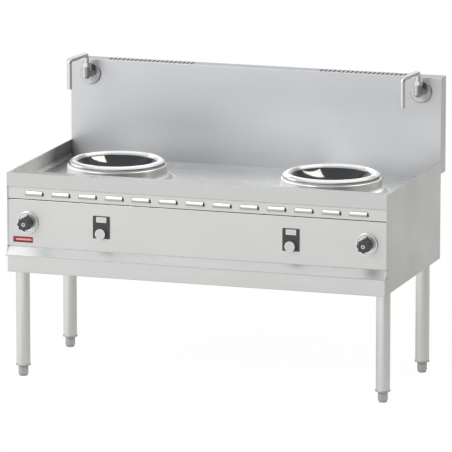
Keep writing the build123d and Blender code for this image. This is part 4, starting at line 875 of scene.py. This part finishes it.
def banner(name, corners, radiance, colour, mirrors, three_cornered=False, shaded=True):
    """A far lamp that only these nodes show. Its corners are directions from the middle of the woks:
    the two ends of its base, and its top corner. Unless shaded, nothing else stands in its way."""
    facing = sum((Vector(c) for c in corners), Vector()).normalized()
    first, second, third = (WOKS_MIDDLE + Vector(c) * (BANNER_DISTANCE / Vector(c).dot(facing))
                            for c in corners)
    along = (second - first).normalized()
    across = facing.cross(along)
    base, lean, rise = (second - first).length, (third - first).dot(along), (third - first).dot(across)
    light, lamp = area_light(name, base, abs(rise), radiance * pi * base * abs(rise))
    light.color = colour
    if three_cornered:
        g = Graph(name, light)
        u, v, _ = g.split(g.add("ShaderNodeNewGeometry").outputs["Parametric"])
        from_left = g.math("GREATER_THAN", u, g.math("MULTIPLY", v, lean / base))
        from_right = g.math("LESS_THAN", u, g.math("SUBTRACT", 1.0, g.math("MULTIPLY", v, 1 - lean / base)))
        g.link(g.math("MULTIPLY", from_left, from_right), g.tree.nodes["Emission"].inputs["Strength"])
    middle = first + along * base / 2 + across * rise / 2
    lamp.matrix_world = Matrix.Translation(middle) @ Matrix((along, across, facing)).transposed().to_4x4()
    lamp.visible_camera = False
    shown_by(lamp, name + "_mirrors", mirrors)
    if not shaded:
        lamp.light_linking.blocker_collection = lamp.light_linking.receiver_collection


# Banners high on the right, which the glass bowls show as a bright wedge and the steel as a streak,
# on the left, and low at the back right, for the foot of the collars.
HIGH_RIGHT = ((0.497, -0.154, 0.853), (0.637, 0.493, 0.592), (0.257, 0.078, 0.962))
LEFT = ((-0.97, -0.15, 0.08), (-0.80, 0.55, 0.08), (-0.80, -0.12, 0.55))
BACK_RIGHT = ((0.84, -0.25, 0.48), (0.33, 0.94, 0.06), (0.76, -0.16, 0.63))
CREAM = (0.93, 0.90, 0.84)
banner("wedge_banner", HIGH_RIGHT, 26.0, CREAM, BOWLS, three_cornered=True)
banner("streak_banner", HIGH_RIGHT, 3.0, CREAM, COLLARS)
banner("ring_banner", HIGH_RIGHT, 0.3, CREAM, RINGS)
banner("left_banner", LEFT, 3.0, WHITE, COLLARS)
banner("left_ring_banner", LEFT, 1.1, WHITE, RINGS)
banner("foot_banner", BACK_RIGHT, 2.0, CREAM, COLLARS, shaded=False)

# ---------------------------------------------------------------- camera
# A long lens from the right and a little above, at the photograph's viewing angle.
AZIMUTH = 18.17
ELEVATION = 11.37
DISTANCE = 22.221
FOCAL_PIXELS = 5480.5
PHOTO_SIDE = 452.0
AIM_PIXEL = (218.77, 226.78)
AIM_BEHIND_RAIL = 0.3111
AIM_HEIGHT = 0.6222

rail_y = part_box("worktop_pan")[0].y
aim = Vector((0.0, rail_y + AIM_BEHIND_RAIL, AIM_HEIGHT))
azimuth, elevation = radians(AZIMUTH), radians(ELEVATION)
away = Vector((sin(azimuth) * cos(elevation), -cos(azimuth) * cos(elevation), sin(elevation)))
camera_data = bpy.data.cameras.new("photo_camera")
camera_data.lens = FOCAL_PIXELS / PHOTO_SIDE * camera_data.sensor_width
camera_data.shift_x = (PHOTO_SIDE / 2 - AIM_PIXEL[0]) / PHOTO_SIDE
camera_data.shift_y = (AIM_PIXEL[1] - PHOTO_SIDE / 2) / PHOTO_SIDE
camera_data.clip_end = 100.0
camera = bpy.data.objects.new("photo_camera", camera_data)
camera.location = aim + away * DISTANCE
camera.rotation_euler = (-away).to_track_quat("-Z", "Y").to_euler()
bpy.context.scene.collection.objects.link(camera)
bpy.context.scene.camera = camera
bpy.context.scene.view_settings.view_transform = "Standard"
